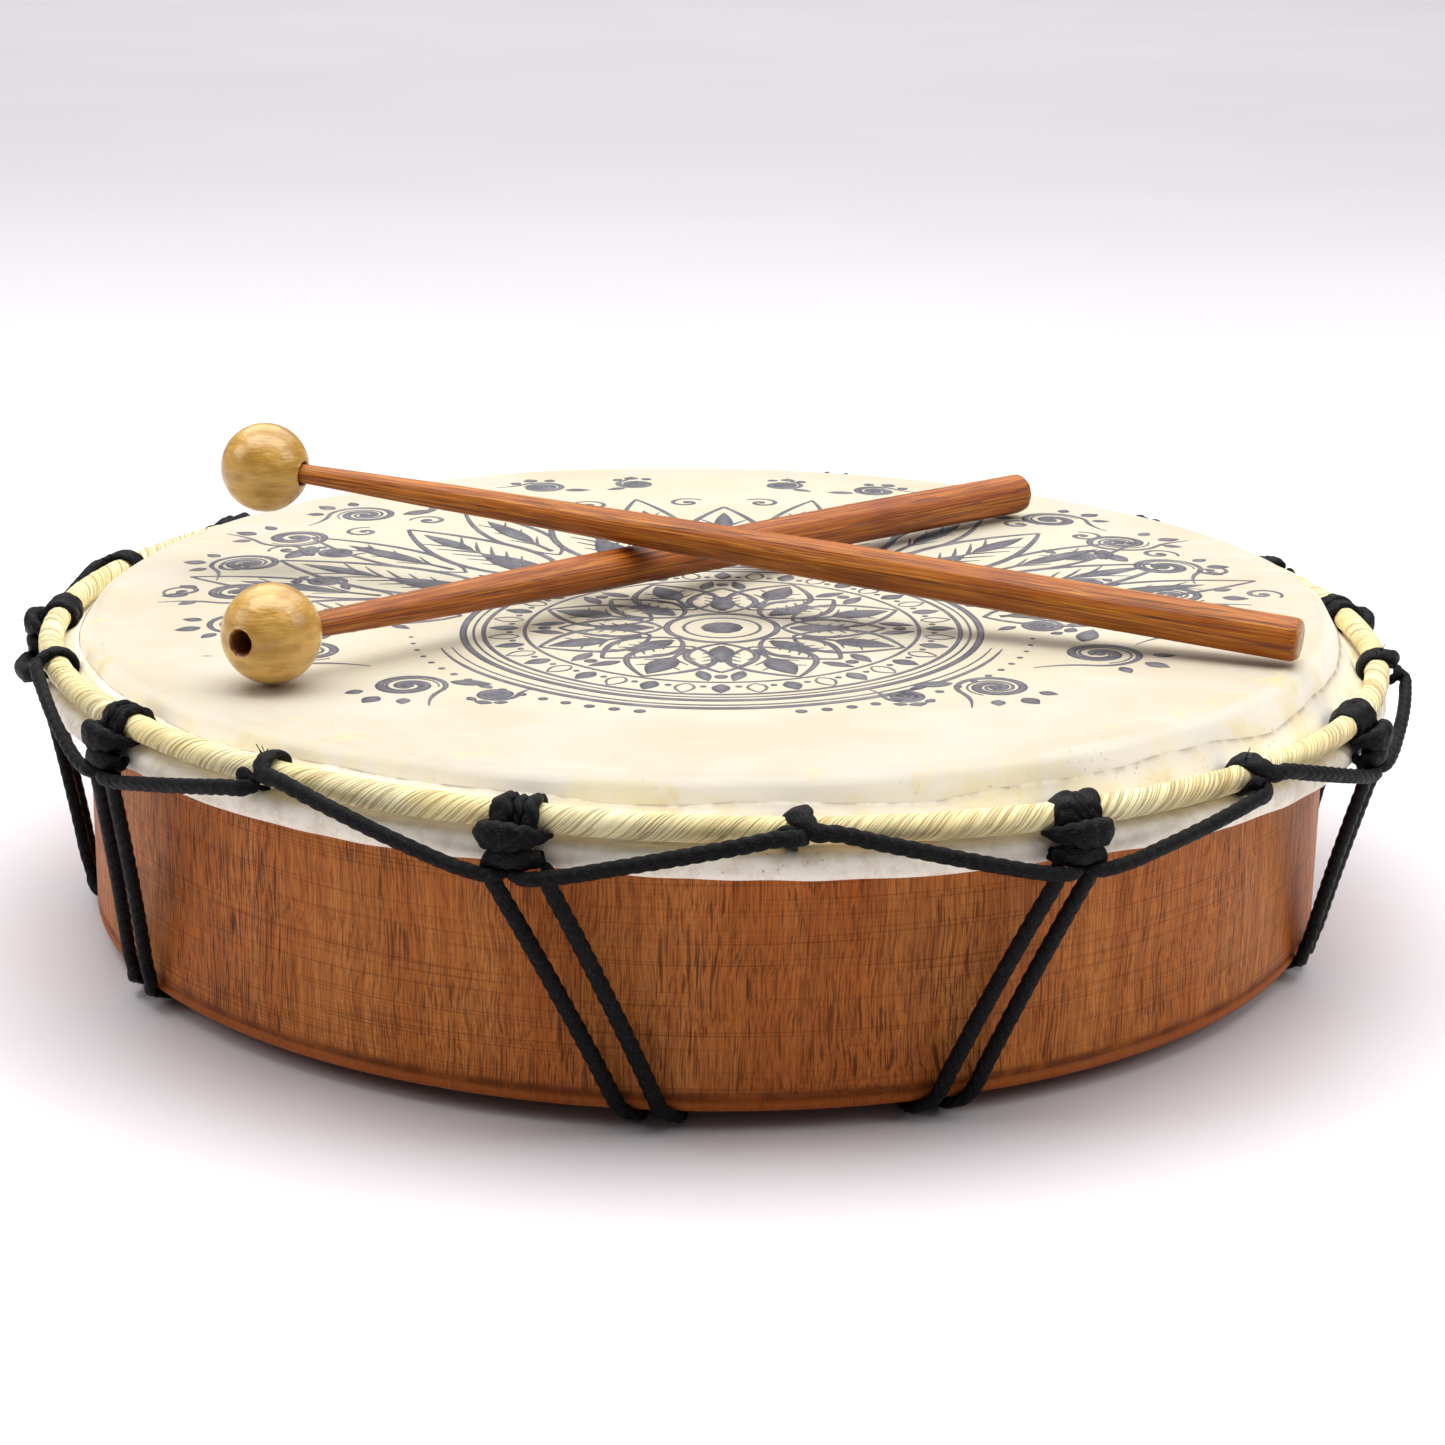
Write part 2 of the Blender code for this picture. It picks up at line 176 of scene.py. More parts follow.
def spline(points, step):
    """Resample rows of control values along a Catmull-Rom curve. The first three are the place."""
    points = np.array(points, float)
    padded = np.vstack((2 * points[0] - points[1], points, 2 * points[-1] - points[-2]))
    rows = []
    for index in range(len(points) - 1):
        a, b, c, d = padded[index:index + 4]
        count = max(2, int(np.linalg.norm((c - b)[:3]) / step))
        for t in np.arange(count) / count:
            rows.append(0.5 * (2 * b + (c - a) * t + (2 * a - 5 * b + 4 * c - d) * t * t
                               + (3 * b - 3 * c + d - a) * t ** 3))
    rows.append(points[-1])
    return np.array(rows)


class Shape:
    """Gathers grids of points into one mesh with a map of its own lengths in millimetres."""

    def __init__(self):
        self.vertices, self.faces, self.places = [], [], []
        self.count = 0

    def grid(self, points, along, around, closed_along=False, closed_around=True, caps=False):
        """Add a grid of points[along, around]. A closed side wraps back to its first row."""
        rows, columns = points.shape[:2]
        first = np.arange(rows if closed_along else rows - 1)
        side = np.arange(columns if closed_around else columns - 1)
        i, j = (part.ravel() for part in np.meshgrid(first, side, indexing="ij"))
        corners = []
        for down, over in ((0, 0), (1, 0), (1, 1), (0, 1)):
            corners.append(((i + down) % rows) * columns + (j + over) % columns)
        self.faces += (np.stack(corners, -1) + self.count).tolist()
        for down, over in ((0, 0), (1, 0), (1, 1), (0, 1)):
            corners.append(np.stack((along[i + down], around[j + over]), -1))
        self.places.append(np.stack(corners[4:], 1).reshape(-1, 2))
        self.vertices.append(points.reshape(-1, 3))
        if caps:
            for row, order in ((0, 1), (rows - 1, -1)):
                self.faces.append((np.arange(columns)[::order] + row * columns + self.count).tolist())
                self.places.append(np.tile((along[row], 0.0), (columns, 1)))
        self.count += rows * columns

    def solid(self, outline_top, outline_bottom, faces):
        """Add a thin plate: two matching lists of points, and the faces that join the top ones."""
        size = len(outline_top)
        base = self.count
        added = []
        border = {}
        for face in faces:
            added.append([base + index for index in face])
            added.append([base + size + index for index in reversed(face)])
            for one, two in zip(face, face[1:] + face[:1]):
                if (two, one) in border:
                    del border[(two, one)]
                else:
                    border[(one, two)] = True
        for one, two in border:
            added.append([base + two, base + one, base + size + one, base + size + two])
        self.faces += added
        self.places.append(np.zeros((sum(len(face) for face in added), 2)))
        self.vertices += [np.array(outline_top, float), np.array(outline_bottom, float)]
        self.count += 2 * size

    def build(self, name, material, body, slot, replaces=(), place=None):
        mesh = bpy.data.meshes.new(name)
        mesh.from_pydata(np.vstack(self.vertices).tolist(), [], self.faces)
        layer = mesh.uv_layers.new(name="lengths")
        layer.data.foreach_set("uv", np.vstack(self.places).astype(np.float32).ravel())
        work = bmesh.new()
        work.from_mesh(mesh)
        bmesh.ops.recalc_face_normals(work, faces=work.faces)
        work.to_mesh(mesh)
        work.free()
        mesh.polygons.foreach_set("use_smooth", [True] * len(mesh.polygons))
        mesh.materials.append(material)
        obj = bpy.data.objects.new(name, mesh)
        link(obj)
        if place is not None:
            obj.matrix_world = place
        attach(obj, body)
        if replaces:
            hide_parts(*replaces)
        return obj


def crisp_beyond(obj, degrees):
    """Keep edges sharper than an angle crisp."""
    obj.data.set_sharp_from_angle(angle=math.radians(degrees))


def store(obj, name, values):
    """Keep one number for each point, for the material to read."""
    attribute = obj.data.attributes.new(name, "FLOAT", "POINT")
    attribute.data.foreach_set("value", np.ascontiguousarray(values, np.float32).ravel())


# ---------------------------------------------------------------- materials

def colour(red, green, blue):
    """Linear colour from 8-bit display values."""
    values = []
    for part in (red, green, blue):
        part /= 255
        values.append(part / 12.92 if part <= 0.04045 else ((part + 0.055) / 1.055) ** 2.4)
    return (*values, 1.0)


class Paint:
    """A procedural material, with short ways to add its nodes."""

    def __init__(self, name):
        self.material = bpy.data.materials.new(name)
        self.material.use_nodes = True
        self.tree = self.material.node_tree
        self.shader = self.tree.nodes["Principled BSDF"]
        self.object = self.tree.nodes.new("ShaderNodeTexCoord").outputs["Object"]

    def feed(self, socket, value):
        if isinstance(value, bpy.types.NodeSocket):
            self.tree.links.new(value, socket)
        else:
            socket.default_value = value

    def node(self, kind, **settings):
        node = self.tree.nodes.new("ShaderNode" + kind)
        for name, value in settings.items():
            setattr(node, name, value)
        return node

    def maths(self, operation, first, second=0.0, third=0.0):
        node = self.node("Math", operation=operation)
        for socket, value in zip(node.inputs, (first, second, third)):
            self.feed(socket, value)
        return node.outputs[0]

    def lengths(self):
        """The (along, around) map of a swept piece, as a vector."""
        return self.node("UVMap", uv_map="lengths").outputs[0]

    def split(self, vector):
        node = self.node("SeparateXYZ")
        self.feed(node.inputs[0], vector)
        return node.outputs

    def join(self, x, y, z):
        node = self.node("CombineXYZ")
        for socket, value in zip(node.inputs, (x, y, z)):
            self.feed(socket, value)
        return node.outputs[0]

    def scaled(self, vector, scale):
        node = self.node("VectorMath", operation="MULTIPLY")
        self.feed(node.inputs[0], vector)
        node.inputs[1].default_value = scale
        return node.outputs[0]

    def warped(self, vector, scale, amount):
        """Bend coordinates with a slow noise, so that straight streaks waver."""
        node = self.node("TexNoise")
        node.inputs["Scale"].default_value = 1.0
        node.inputs["Detail"].default_value = 2.0
        self.feed(node.inputs["Vector"], self.scaled(vector, scale))
        shift = self.node("VectorMath", operation="MULTIPLY_ADD")
        self.feed(shift.inputs[0], node.outputs["Color"])
        shift.inputs[1].default_value = (amount, amount, amount)
        self.feed(shift.inputs[2], vector)
        return shift.outputs[0]

    def noise(self, vector, scale, detail=2.0, roughness=0.5):
        node = self.node("TexNoise")
        node.inputs["Scale"].default_value = 1.0
        node.inputs["Detail"].default_value = detail
        node.inputs["Roughness"].default_value = roughness
        scale = scale if isinstance(scale, tuple) else (scale, scale, scale)
        self.feed(node.inputs["Vector"], self.scaled(vector, scale))
        return node.outputs["Fac"]

    def between(self, value, low, high, to_low=0.0, to_high=1.0):
        """Map low..high smoothly to to_low..to_high."""
        node = self.node("MapRange", interpolation_type="SMOOTHSTEP")
        self.feed(node.inputs["Value"], value)
        for name, number in (("From Min", low), ("From Max", high),
                             ("To Min", to_low), ("To Max", to_high)):
            node.inputs[name].default_value = number
        return node.outputs["Result"]

    def mix(self, share, first, second):
        node = self.node("Mix", data_type="RGBA")
        self.feed(node.inputs[0], share)
        self.feed(node.inputs[6], first)
        self.feed(node.inputs[7], second)
        return node.outputs[2]

    def named(self, name):
        """A value stored on the mesh."""
        return self.node("Attribute", attribute_name=name).outputs["Fac"]

    def times(self, first, second):
        return self.maths("MULTIPLY", first, second)

    def stain(self, base, red_green_blue, value, low, high, share=1.0):
        """Tint base where a value rises from low to high, up to a share."""
        return self.mix(self.between(value, low, high, 0.0, share), base, colour(*red_green_blue))

    def tint(self, base, red_green_blue, mask, share):
        """Tint base under a 0 to 1 mask, up to a share."""
        return self.mix(self.times(mask, share), base, colour(*red_green_blue))

    def distance(self, offset):
        """Length of an offset vector."""
        node = self.node("VectorMath", operation="LENGTH")
        self.feed(node.inputs[0], offset)
        return node.outputs["Value"]

    def done(self, base, roughness, height=None, depth=0.0002, strength=1.0, **others):
        self.feed(self.shader.inputs["Base Color"], base)
        self.feed(self.shader.inputs["Roughness"], roughness)
        for name, value in others.items():
            self.feed(self.shader.inputs[name.replace("_", " ")], value)
        if height is not None:
            bump = self.node("Bump")
            bump.inputs["Strength"].default_value = strength
            bump.inputs["Distance"].default_value = depth
            self.feed(bump.inputs["Height"], height)
            self.tree.links.new(bump.outputs[0], self.shader.inputs["Normal"])
        return self.material


def paint_shell():
    """Oiled mahogany, turned: upright dark pores, faint lathe lines, bands of lighter wood, and painted
    shade in the groove above the lip.
    """
    p = Paint("mahogany")
    place = p.warped(p.object, (26, 26, 34), 0.0045)
    bands = p.noise(place, (44, 44, 6), 3.0)
    ribbon = p.noise(place, (380, 380, 10), 2.0)
    fibre = p.noise(place, (2200, 2200, 34), 3.0, 0.6)
    pores = p.between(p.noise(place, (2300, 2300, 95), 1.0, 0.4), 0.560, 0.630)
    fine_pores = p.between(p.noise(place, (3600, 3600, 190), 1.0), 0.55, 0.63)
    clusters = p.between(p.noise(place, (75, 75, 12), 2.0), 0.34, 0.62, 0.30, 1.0)
    pores = p.times(pores, clusters)
    lathe = p.noise(p.object, (12, 12, 2300), 2.0, 0.7)
    lathe_line = p.between(lathe, 0.54, 0.66)
    wood = p.mix(p.between(bands, 0.34, 0.66), colour(190, 106, 42), colour(208, 130, 64))
    wood = p.stain(wood, (156, 80, 28), ribbon, 0.40, 0.66, 0.36)
    wood = p.stain(wood, (130, 64, 20), fibre, 0.40, 0.66, 0.50)
    wood = p.tint(wood, (94, 42, 12), fine_pores, 0.46)
    wood = p.tint(wood, (100, 48, 16), lathe_line, 0.42)
    wood = p.tint(wood, (60, 25, 7), pores, 0.68)
    x, y, height = p.split(p.object)
    # A small pin knot at the front left
    knot = p.join(p.maths("ADD", x, 0.1004), p.maths("ADD", y, 0.1115),
                  p.maths("SUBTRACT", height, 0.030))
    knot = p.scaled(knot, (1, 1, 0.35))
    wood = p.stain(wood, (56, 24, 8), p.distance(knot), 0.0013, 0.0004, 0.7)
    lip = p.between(height, 0.0098, 0.0070)
    lip_tone = p.mix(p.between(fibre, 0.3, 0.7), colour(146, 72, 22), colour(172, 90, 34))
    wood = p.mix(p.times(lip, 0.75), wood, lip_tone)
    # Painted shade: the groove above the bead is darkened in uneven patches, where shade falls
    groove = p.times(p.between(height, 0.0060, 0.0074), p.between(height, 0.0096, 0.0080))
    groove_shade_patches = p.between(p.noise(p.object, (160, 160, 90), 3.0), 0.30, 0.62, 0.15, 0.60)
    wood = p.mix(p.times(groove, groove_shade_patches), wood, colour(60, 28, 12))
    relief = p.maths("SUBTRACT", p.times(lathe, 0.30), p.times(pores, 0.8))
    gloss = p.between(fibre, 0.3, 0.7, 0.42, 0.56)
    return p.done(wood, gloss, relief, 0.00012, 0.6, Specular_IOR_Level=0.14)


def paint_skin():
    """Goat rawhide: cream, mottled, with yellow thin spots, a few specks, a brown cut edge, and painted
    light on the slope over the edge.
    """
    p = Paint("rawhide")
    cloud = p.noise(p.object, 26, 3.0, 0.6)
    mottle = p.noise(p.object, 240, 4.0, 0.7)
    thin = p.between(p.noise(p.object, (85, 85, 40), 3.0, 0.6), 0.58, 0.70)
    grain = p.noise(p.object, 1500, 3.0, 0.6)
    crease = p.noise(p.warped(p.object, (30, 30, 30), 0.012), (34, 150, 60), 2.0)
    x, y, _ = p.split(p.object)
    reach = p.maths("SQRT", p.maths("ADD", p.times(x, x), p.times(y, y)))
    rim = p.between(reach, 0.134, 0.150)
    hem = p.between(reach, 0.1570, 0.1605)
    slope = p.between(reach, 0.1470, 0.1515, 0.0, 0.9)
    base = p.mix(p.between(cloud, 0.35, 0.65), colour(203, 195, 179), colour(200, 187, 163))
    base = p.stain(base, (205, 195, 173), mottle, 0.40, 0.72, 0.30)
    base = p.stain(base, (222, 214, 198), crease, 0.60, 0.72, 0.22)
    # Painted light: the slope from the bearing edge down to the ring is painted lighter, as if lit as
    # brightly as the head
    base = p.mix(slope, base, colour(250, 243, 228))
    waxy = p.between(p.noise(p.object, (70, 70, 50), 3.0, 0.6), 0.46, 0.62, 0.0, 0.55)
    base = p.mix(p.times(slope, waxy), base, colour(240, 222, 168))
    base = p.tint(base, (232, 208, 142), p.times(thin, rim), 0.55)
    hem_tone = p.stain(colour(250, 242, 226), (224, 209, 184), mottle, 0.42, 0.66, 0.6)
    base = p.mix(hem, base, hem_tone)
    specks = p.between(p.noise(p.object, 950, 1.0), 0.68, 0.75)
    patches = p.between(p.noise(p.object, 60, 2.0), 0.50, 0.66)
    outer = p.between(reach, 0.120, 0.158, 0.03, 0.45)
    specks = p.times(p.times(specks, patches), outer)
    base = p.mix(specks, base, colour(104, 78, 52))
    tint = p.between(p.named("printed"), 0.0, 1.0, 0.0, 0.42)
    base = p.mix(tint, base, colour(207, 202, 177))
    # A small brown fleck at the left of the head
    fleck = p.join(p.maths("ADD", x, 0.113), p.times(p.maths("ADD", y, 0.061), 2.2), 0.0)
    base = p.stain(base, (150, 112, 60), p.distance(fleck), 0.0016, 0.0007, 0.75)
    edge = p.between(p.noise(p.object, (260, 260, 60), 3.0), 0.40, 0.60, 0.55, 1.0)
    cut = p.times(p.named("cut"), edge)
    base = p.tint(base, (132, 104, 66), cut, 0.95)
    relief = p.maths("ADD", p.times(mottle, 0.7), p.times(grain, 0.3))
    relief = p.maths("ADD", relief, p.times(crease, 1.2))
    rough = p.between(mottle, 0.3, 0.7, 0.50, 0.64)
    return p.done(base, rough, relief, 0.00016, 0.5, Specular_IOR_Level=0.25)


def paint_ink():
    p = Paint("print_ink")
    fade = p.between(p.noise(p.object, 110, 3.0, 0.6), 0.40, 0.72, 0.04, 0.34)
    grain = p.between(p.noise(p.object, 1400, 2.0), 0.55, 0.75, 0.0, 0.18)
    tone = p.mix(fade, colour(88, 86, 95), colour(160, 158, 157))
    tone = p.mix(grain, tone, colour(190, 184, 172))
    return p.done(tone, 0.55, p.noise(p.object, 900), 0.00008, 0.4)


def paint_wrap():
    """A pale leaf strip wound tightly round the hoop, with creases along its edges, and painted shade in
    the creases and along the strip's steps.
    """
    p = Paint("wrapping_strip")
    along, around, _ = p.split(p.lengths())
    phase = p.maths("SUBTRACT", p.maths("DIVIDE", along, STRIP_PITCH), around)
    spun = p.times(phase, TURN)
    across = p.join(p.maths("COSINE", spun), p.maths("SINE", spun), p.times(along, 0.03))
    fine = p.noise(across, (7.5, 7.5, 1), 3.0, 0.65)
    rib = p.maths("ABSOLUTE", p.maths("SUBTRACT", p.noise(across, (3.4, 3.4, 1), 1.0, 0.4), 0.5))
    rib = p.between(rib, 0.062, 0.004)
    cloud = p.noise(p.object, 60, 2.0)
    base = p.mix(p.between(cloud, 0.35, 0.65), colour(255, 246, 199), colour(255, 237, 176))
    base = p.stain(base, (242, 214, 146), fine, 0.35, 0.7, 0.38)
    # Painted shade: dark lines along the narrow creases and along the edges of the strip's steps
    base = p.tint(base, (170, 122, 60), rib, 0.60)
    base = p.tint(base, (170, 126, 68), p.named("step"), 0.40)
    relief = p.maths("SUBTRACT", p.times(fine, 0.5), rib)
    return p.done(base, 0.5, relief, 0.00032, 0.9, Specular_IOR_Level=0.25)


def paint_cord():
    """Waxed black braid: fine fibres with a dull shine where they are worn, and painted shade between its
    yarns.
    """
    p = Paint("waxed_cord")
    along, around, _ = p.split(p.lengths())
    lean = p.times(p.maths("SINE", p.times(around, TURN)), 1.6)
    fibre = p.noise(p.join(p.maths("ADD", along, lean), around, 0.0), (1.1, 34, 1), 3.0, 0.6)
    worn = p.noise(p.object, 240, 3.0, 0.6)
    across = p.maths("ABSOLUTE", p.maths("COSINE", p.times(around, TURN)))
    phase = p.maths("ADD", p.maths("DIVIDE", along, YARN_PITCH), p.times(across, YARN_LEAN))
    yarn = p.maths("ABSOLUTE", p.maths("SINE", p.times(phase, math.pi)))
    base = p.mix(p.between(worn, 0.42, 0.78), colour(5, 4, 5), colour(13, 12, 13))
    base = p.stain(base, (46, 42, 48), fibre, 0.50, 0.70, 0.8)
    # Painted shade: the grooves between the yarns are darkened, so that the yarns' crowns stand out lighter
    base = p.stain(base, (3, 3, 3), yarn, 0.62, 0.08, 0.9)
    lint = p.between(p.noise(p.object, 1300, 1.0), 0.76, 0.80)
    base = p.tint(base, (110, 102, 100), lint, 0.35)
    rough = p.between(worn, 0.3, 0.7, 0.40, 0.60)
    return p.done(base, rough, fibre, 0.00032, 0.9, Specular_IOR_Level=0.13)


def paint_stick(name, light, dark, red):
    """Whittled hardwood under a red-brown stain, streaked along its length (local Z)."""
    p = Paint(name)
    place = p.warped(p.object, (60, 60, 18), 0.0012)
    streak = p.noise(place, (2500, 2500, 34), 3.0, 0.65)
    wide = p.noise(place, (620, 620, 14), 2.0)
    pores = p.between(p.noise(place, (2000, 2000, 60), 1.0), 0.62, 0.72)
    patch = p.noise(p.object, (90, 90, 30), 2.0)
    wood = p.mix(p.between(streak, 0.34, 0.66), dark, light)
    wood = p.mix(p.between(wide, 0.38, 0.62, 0.0, 0.55), wood, red)
    wood = p.stain(wood, (122, 48, 12), patch, 0.48, 0.68, 0.50)
    wood = p.tint(wood, (62, 26, 8), pores, 0.6)
    end = p.named("end_grain")
    end_tone = p.mix(p.noise(p.object, 1100, 2.0), colour(150, 112, 78), colour(206, 176, 140))
    wood = p.mix(end, wood, end_tone)
    relief = p.maths("SUBTRACT", p.times(streak, 0.8), p.times(pores, 0.5))
    return p.done(wood, 0.40, relief, 0.00030, 0.6,
                  Specular_IOR_Level=0.3, Coat_Weight=0.10, Coat_Roughness=0.3)


def paint_ball():
    """A turned ball of pale wood under thick lacquer, with painted shade in its drilled hole."""
    p = Paint("pale_wood")
    place = p.warped(p.object, (70, 70, 70), 0.004)
    rings = p.noise(place, (110, 420, 130), 3.0, 0.55)
    cloud = p.noise(p.object, (90, 120, 90), 2.0)
    wood = p.mix(p.between(rings, 0.32, 0.68), colour(224, 178, 92), colour(188, 140, 54))
    wood = p.stain(wood, (160, 112, 38), cloud, 0.45, 0.75, 0.5)
    # Painted shade: the drilled hole and its mouth are darkened, where shade falls
    bore = p.named("bore")
    wood = p.mix(bore, wood, colour(124, 74, 38))
    uneven = p.noise(p.object, 280, 2.0)
    brushed = p.noise(place, (260, 1900, 380), 2.0, 0.6)
    relief = p.maths("ADD", p.times(uneven, 0.8), p.times(brushed, 0.35))
    gloss = p.between(rings, 0.35, 0.65, 0.10, 0.26)
    return p.done(wood, 0.42, relief, 0.00060, 0.9,
                  Specular_IOR_Level=0.3, Coat_Weight=0.8, Coat_Roughness=gloss)


def paint_hoop():
    p = Paint("hoop_steel")
    rust = p.noise(p.object, 400, 3.0)
    tone = p.mix(p.between(rust, 0.45, 0.7), colour(150, 148, 144), colour(116, 92, 74))
    return p.done(tone, p.between(rust, 0.3, 0.7, 0.3, 0.55), rust, 0.0001, 0.4, Metallic=0.9)


# ---------------------------------------------------------------- shell and skin

def build_shell(material):
    """The turned wall, with a beaded lip along its lower edge."""
    profile = np.vstack((
        arc(EDGE_CENTRE, 0.004, 90, 0, 6),
        np.stack((np.full(14, SHELL_RADIUS), np.linspace(0.069, 0.0085, 14)), -1),
        ((0.14994, 0.00805), (0.14980, 0.00775), (0.14966, 0.00740), (0.14964, 0.00705)),
        arc((0.14845, 0.0057), 0.0016, 48, -90, 8),
        ((0.1440, SHELL_BOTTOM - 0.0001), (0.1423, SHELL_BOTTOM), (0.1410, 0.0054)),
        np.stack((np.full(8, SHELL_INSIDE), np.linspace(0.012, 0.0735, 8)), -1),
        ((0.1423, SHELL_TOP), (0.1440, SHELL_TOP)),
    ))
    profile[:, 1] = np.maximum(profile[:, 1], SHELL_BOTTOM)
    steps = 480
    angles = around_drum(steps)
    turns = np.radians(angles)
    radius = profile[None, :, 0] + 0.0001 * ripple(turns, (2, 3, 5, 9), 3)[:, None]
    height = np.broadcast_to(profile[None, :, 1], radius.shape)
    points = settle(station(angles[:, None], radius, height))
    shape = Shape()
    shape.grid(points, np.arange(steps + 1.0), np.arange(len(profile) + 1.0), closed_along=True)
    obj = shape.build("shell_wall", material, "drum", "mahogany", ["shell"])
    crisp_beyond(obj, 50)
    return obj


def head_relief(x, y):
    """Small swells of the stretched skin, in metres."""
    reach = np.hypot(x, y)
    swell = np.sin(x * 47 + 1.0) * np.cos(y * 39 + 0.4) + 0.5 * np.sin(x * 90 - y * 60)
    return 0.00012 * swell * smooth(reach / 0.05) - 0.00025 * smooth((reach - 0.112) / 0.034)


def slope_line():
    """Where the skin leaves the bearing edge, its direction down to the roll, and its angle."""
    across, down = ROLL_CENTRE[0] - EDGE_CENTRE[0], ROLL_CENTRE[1] - EDGE_CENTRE[1]
    leave = math.atan2(down, across) + math.acos((SKIN_UNDER + ROLL_RADIUS) / math.hypot(across, down))
    outward = np.array((math.cos(leave), math.sin(leave)))
    return math.degrees(leave), outward, np.array((outward[1], -outward[0]))


def near_hitches(angles):
    """1 at each hitch, falling to 0 midway between them."""
    gaps = np.full(angles.shape, 999.0)
    for entry in STATIONS:
        gap = np.abs((angles - entry[0] + 180) % 360 - 180)
        gaps = np.minimum(gaps, gap)
    return np.exp(-(gaps / 6.5) ** 2)


def build_skin(material):
    """One sheet: across the head, over the edge, down, round the hoop, and up inside the ring."""
    leave, outward, along_slope = slope_line()
    thickness = SKIN_OVER - SKIN_UNDER
    steps = 640
    angles = around_drum(steps)
    turns = np.radians(angles)
    pinch = near_hitches(angles)
    slack = 1 - pinch
    edge = np.array(EDGE_CENTRE)
    roll = np.array(ROLL_CENTRE)
    slope_length = float(np.dot(roll - edge, along_slope))
    rows = []

    def row(radius, height, normal_radius, normal_height, cut=0.0, printed=0.0):
        rows.append([np.broadcast_to(value, turns.shape) for value in
                     (radius, height, normal_radius, normal_height, cut, printed)])

    top = EDGE_CENTRE[1] + SKIN_OVER - thickness / 2
    reaches = np.concatenate((np.linspace(0.003, 0.129, 22), np.linspace(0.133, EDGE_CENTRE[0], 6)))
    for reach in reaches:
        x, y = reach * np.sin(turns), -reach * np.cos(turns)
        printed = smooth((0.128 - np.hypot(x, y - 0.014)) / 0.012)
        row(reach, top + head_relief(x, y), 0.0, 1.0, 0.0, printed)
    centre_drop = head_relief(0.0, -EDGE_CENTRE[0])
    for angle in np.linspace(90, leave, 8)[1:]:
        turn = math.radians(angle)
        middle = SKIN_OVER - thickness / 2
        fade = (angle - leave) / (90 - leave)
        lift = centre_drop * fade + 0.00018 * ripple(turns, (17, 23, 31), 5) * (1 - fade)
        row(edge[0] + (middle + lift) * math.cos(turn), edge[1] + (middle + lift) * math.sin(turn),
            math.cos(turn), math.sin(turn))
    for part in np.linspace(0.0, 1.0, 9)[1:-1]:
        base = edge + outward * (SKIN_UNDER + thickness / 2) + along_slope * slope_length * part
        fold = 0.00008 * ripple(turns, (29, 37, 53), 8) * math.sin(math.pi * part)
        row(base[0] + outward[0] * fold, base[1] + outward[1] * fold, outward[0], outward[1])
    # Round the hoop, where the normal points in to the hoop's middle on the sheet's first face
    start, end = leave + 180, 462
    for angle in np.linspace(start, end, 30):
        turn = math.radians(angle)
        corner = np.exp(-((angle - 305) / 26) ** 2)
        front = np.exp(-((angle - 355) / 40) ** 2)
        arch = math.sin(math.pi * (angle - start) / (end - start))
        wavy = 0.00016 * ripple(turns, (41, 53, 67), 11) * arch
        reach = ROLL_RADIUS - thickness / 2 + corner * slack * 0.0003 - front * slack * 0.0002 + wavy
        reach = reach - 0.0005 * pinch * arch
        row(roll[0] + reach * math.cos(turn), roll[1] + reach * math.sin(turn),
            -math.cos(turn), -math.sin(turn))
    # The flap, up between the ring and the slope to its ragged cut edge
    ragged = 0.8 * ripple(turns, (7, 11, 19), 21) + 0.16 * ripple(turns, (31, 43, 59), 22)
    reach_up = 0.0027 - 0.0011 * ragged + 0.0006 * np.exp(-((angles + 48) / 9) ** 2)
    lift = 0.00005 + 0.00012 * np.maximum(ripple(turns, (13, 27, 47), 23), 0.0) * slack
    browned = 0.78 + 0.22 * np.exp(-((angles + 30) / 34) ** 2)
    flap_foot = np.array((0.15800, 0.06530))
    for part in np.linspace(0.0, 1.0, 10):
        along = 9.5 * MM + (reach_up - 9.5 * MM) * part
        lie = SKIN_OVER + thickness * (0.62 - 0.44 * smooth((part - 0.45) / 0.55))
        base_r = edge[0] + outward[0] * lie + along_slope[0] * along
        base_z = edge[1] + outward[1] * lie + along_slope[1] * along
        blend = smooth(part / 0.30)
        rise = lift * smooth((part - 0.55) / 0.45)
        radius = flap_foot[0] * (1 - blend) + (base_r + outward[0] * rise) * blend
        height = flap_foot[1] * (1 - blend) + (base_z + outward[1] * rise) * blend
        row(radius, height, -outward[0], -outward[1], browned * smooth((part - 0.86) / 0.13))
    table = np.array(rows)
    radius, height, normal_r, normal_z, cut, printed = (table[:, index].T for index in range(6))
    taper = np.ones(len(rows))
    taper[-4:] = (0.8, 0.55, 0.3, 0.1)
    half = thickness / 2 * taper[None, :]
    face = station(angles[:, None], radius + normal_r * half, height + normal_z * half)
    back = station(angles[:, None], radius - normal_r * half, height - normal_z * half)
    sheet = settle(np.concatenate((face, back[:, ::-1]), 1))
    values = {"cut": np.concatenate((cut, cut[:, ::-1]), 1),
              "printed": np.concatenate((printed, 0 * printed), 1)}
    shape = Shape()
    columns = sheet.shape[1]
    shape.grid(sheet, np.arange(steps + 1.0), np.arange(columns + 1.0),
               closed_along=True, closed_around=False)
    # Close the two small holes in the middle of the head
    for column in (0, columns - 1):
        ring = [(step * columns + column) for step in range(steps)]
        shape.faces.append(ring)
        shape.places.append(np.zeros((steps, 2)))
    obj = shape.build("head_skin", material, "drum", "rawhide", ["skin_head"])
    for name, grid_values in values.items():
        store(obj, name, grid_values)
    return obj


def head_point(x, y, above=0.0):
    """A point on the head's face, from millimetres."""
    x, y = np.asarray(x) * MM, np.asarray(y) * MM
    top = EDGE_CENTRE[1] + SKIN_OVER + head_relief(x, y) + above
    return settle(np.stack((x, y, top), -1))


# ---------------------------------------------------------------- crown ring

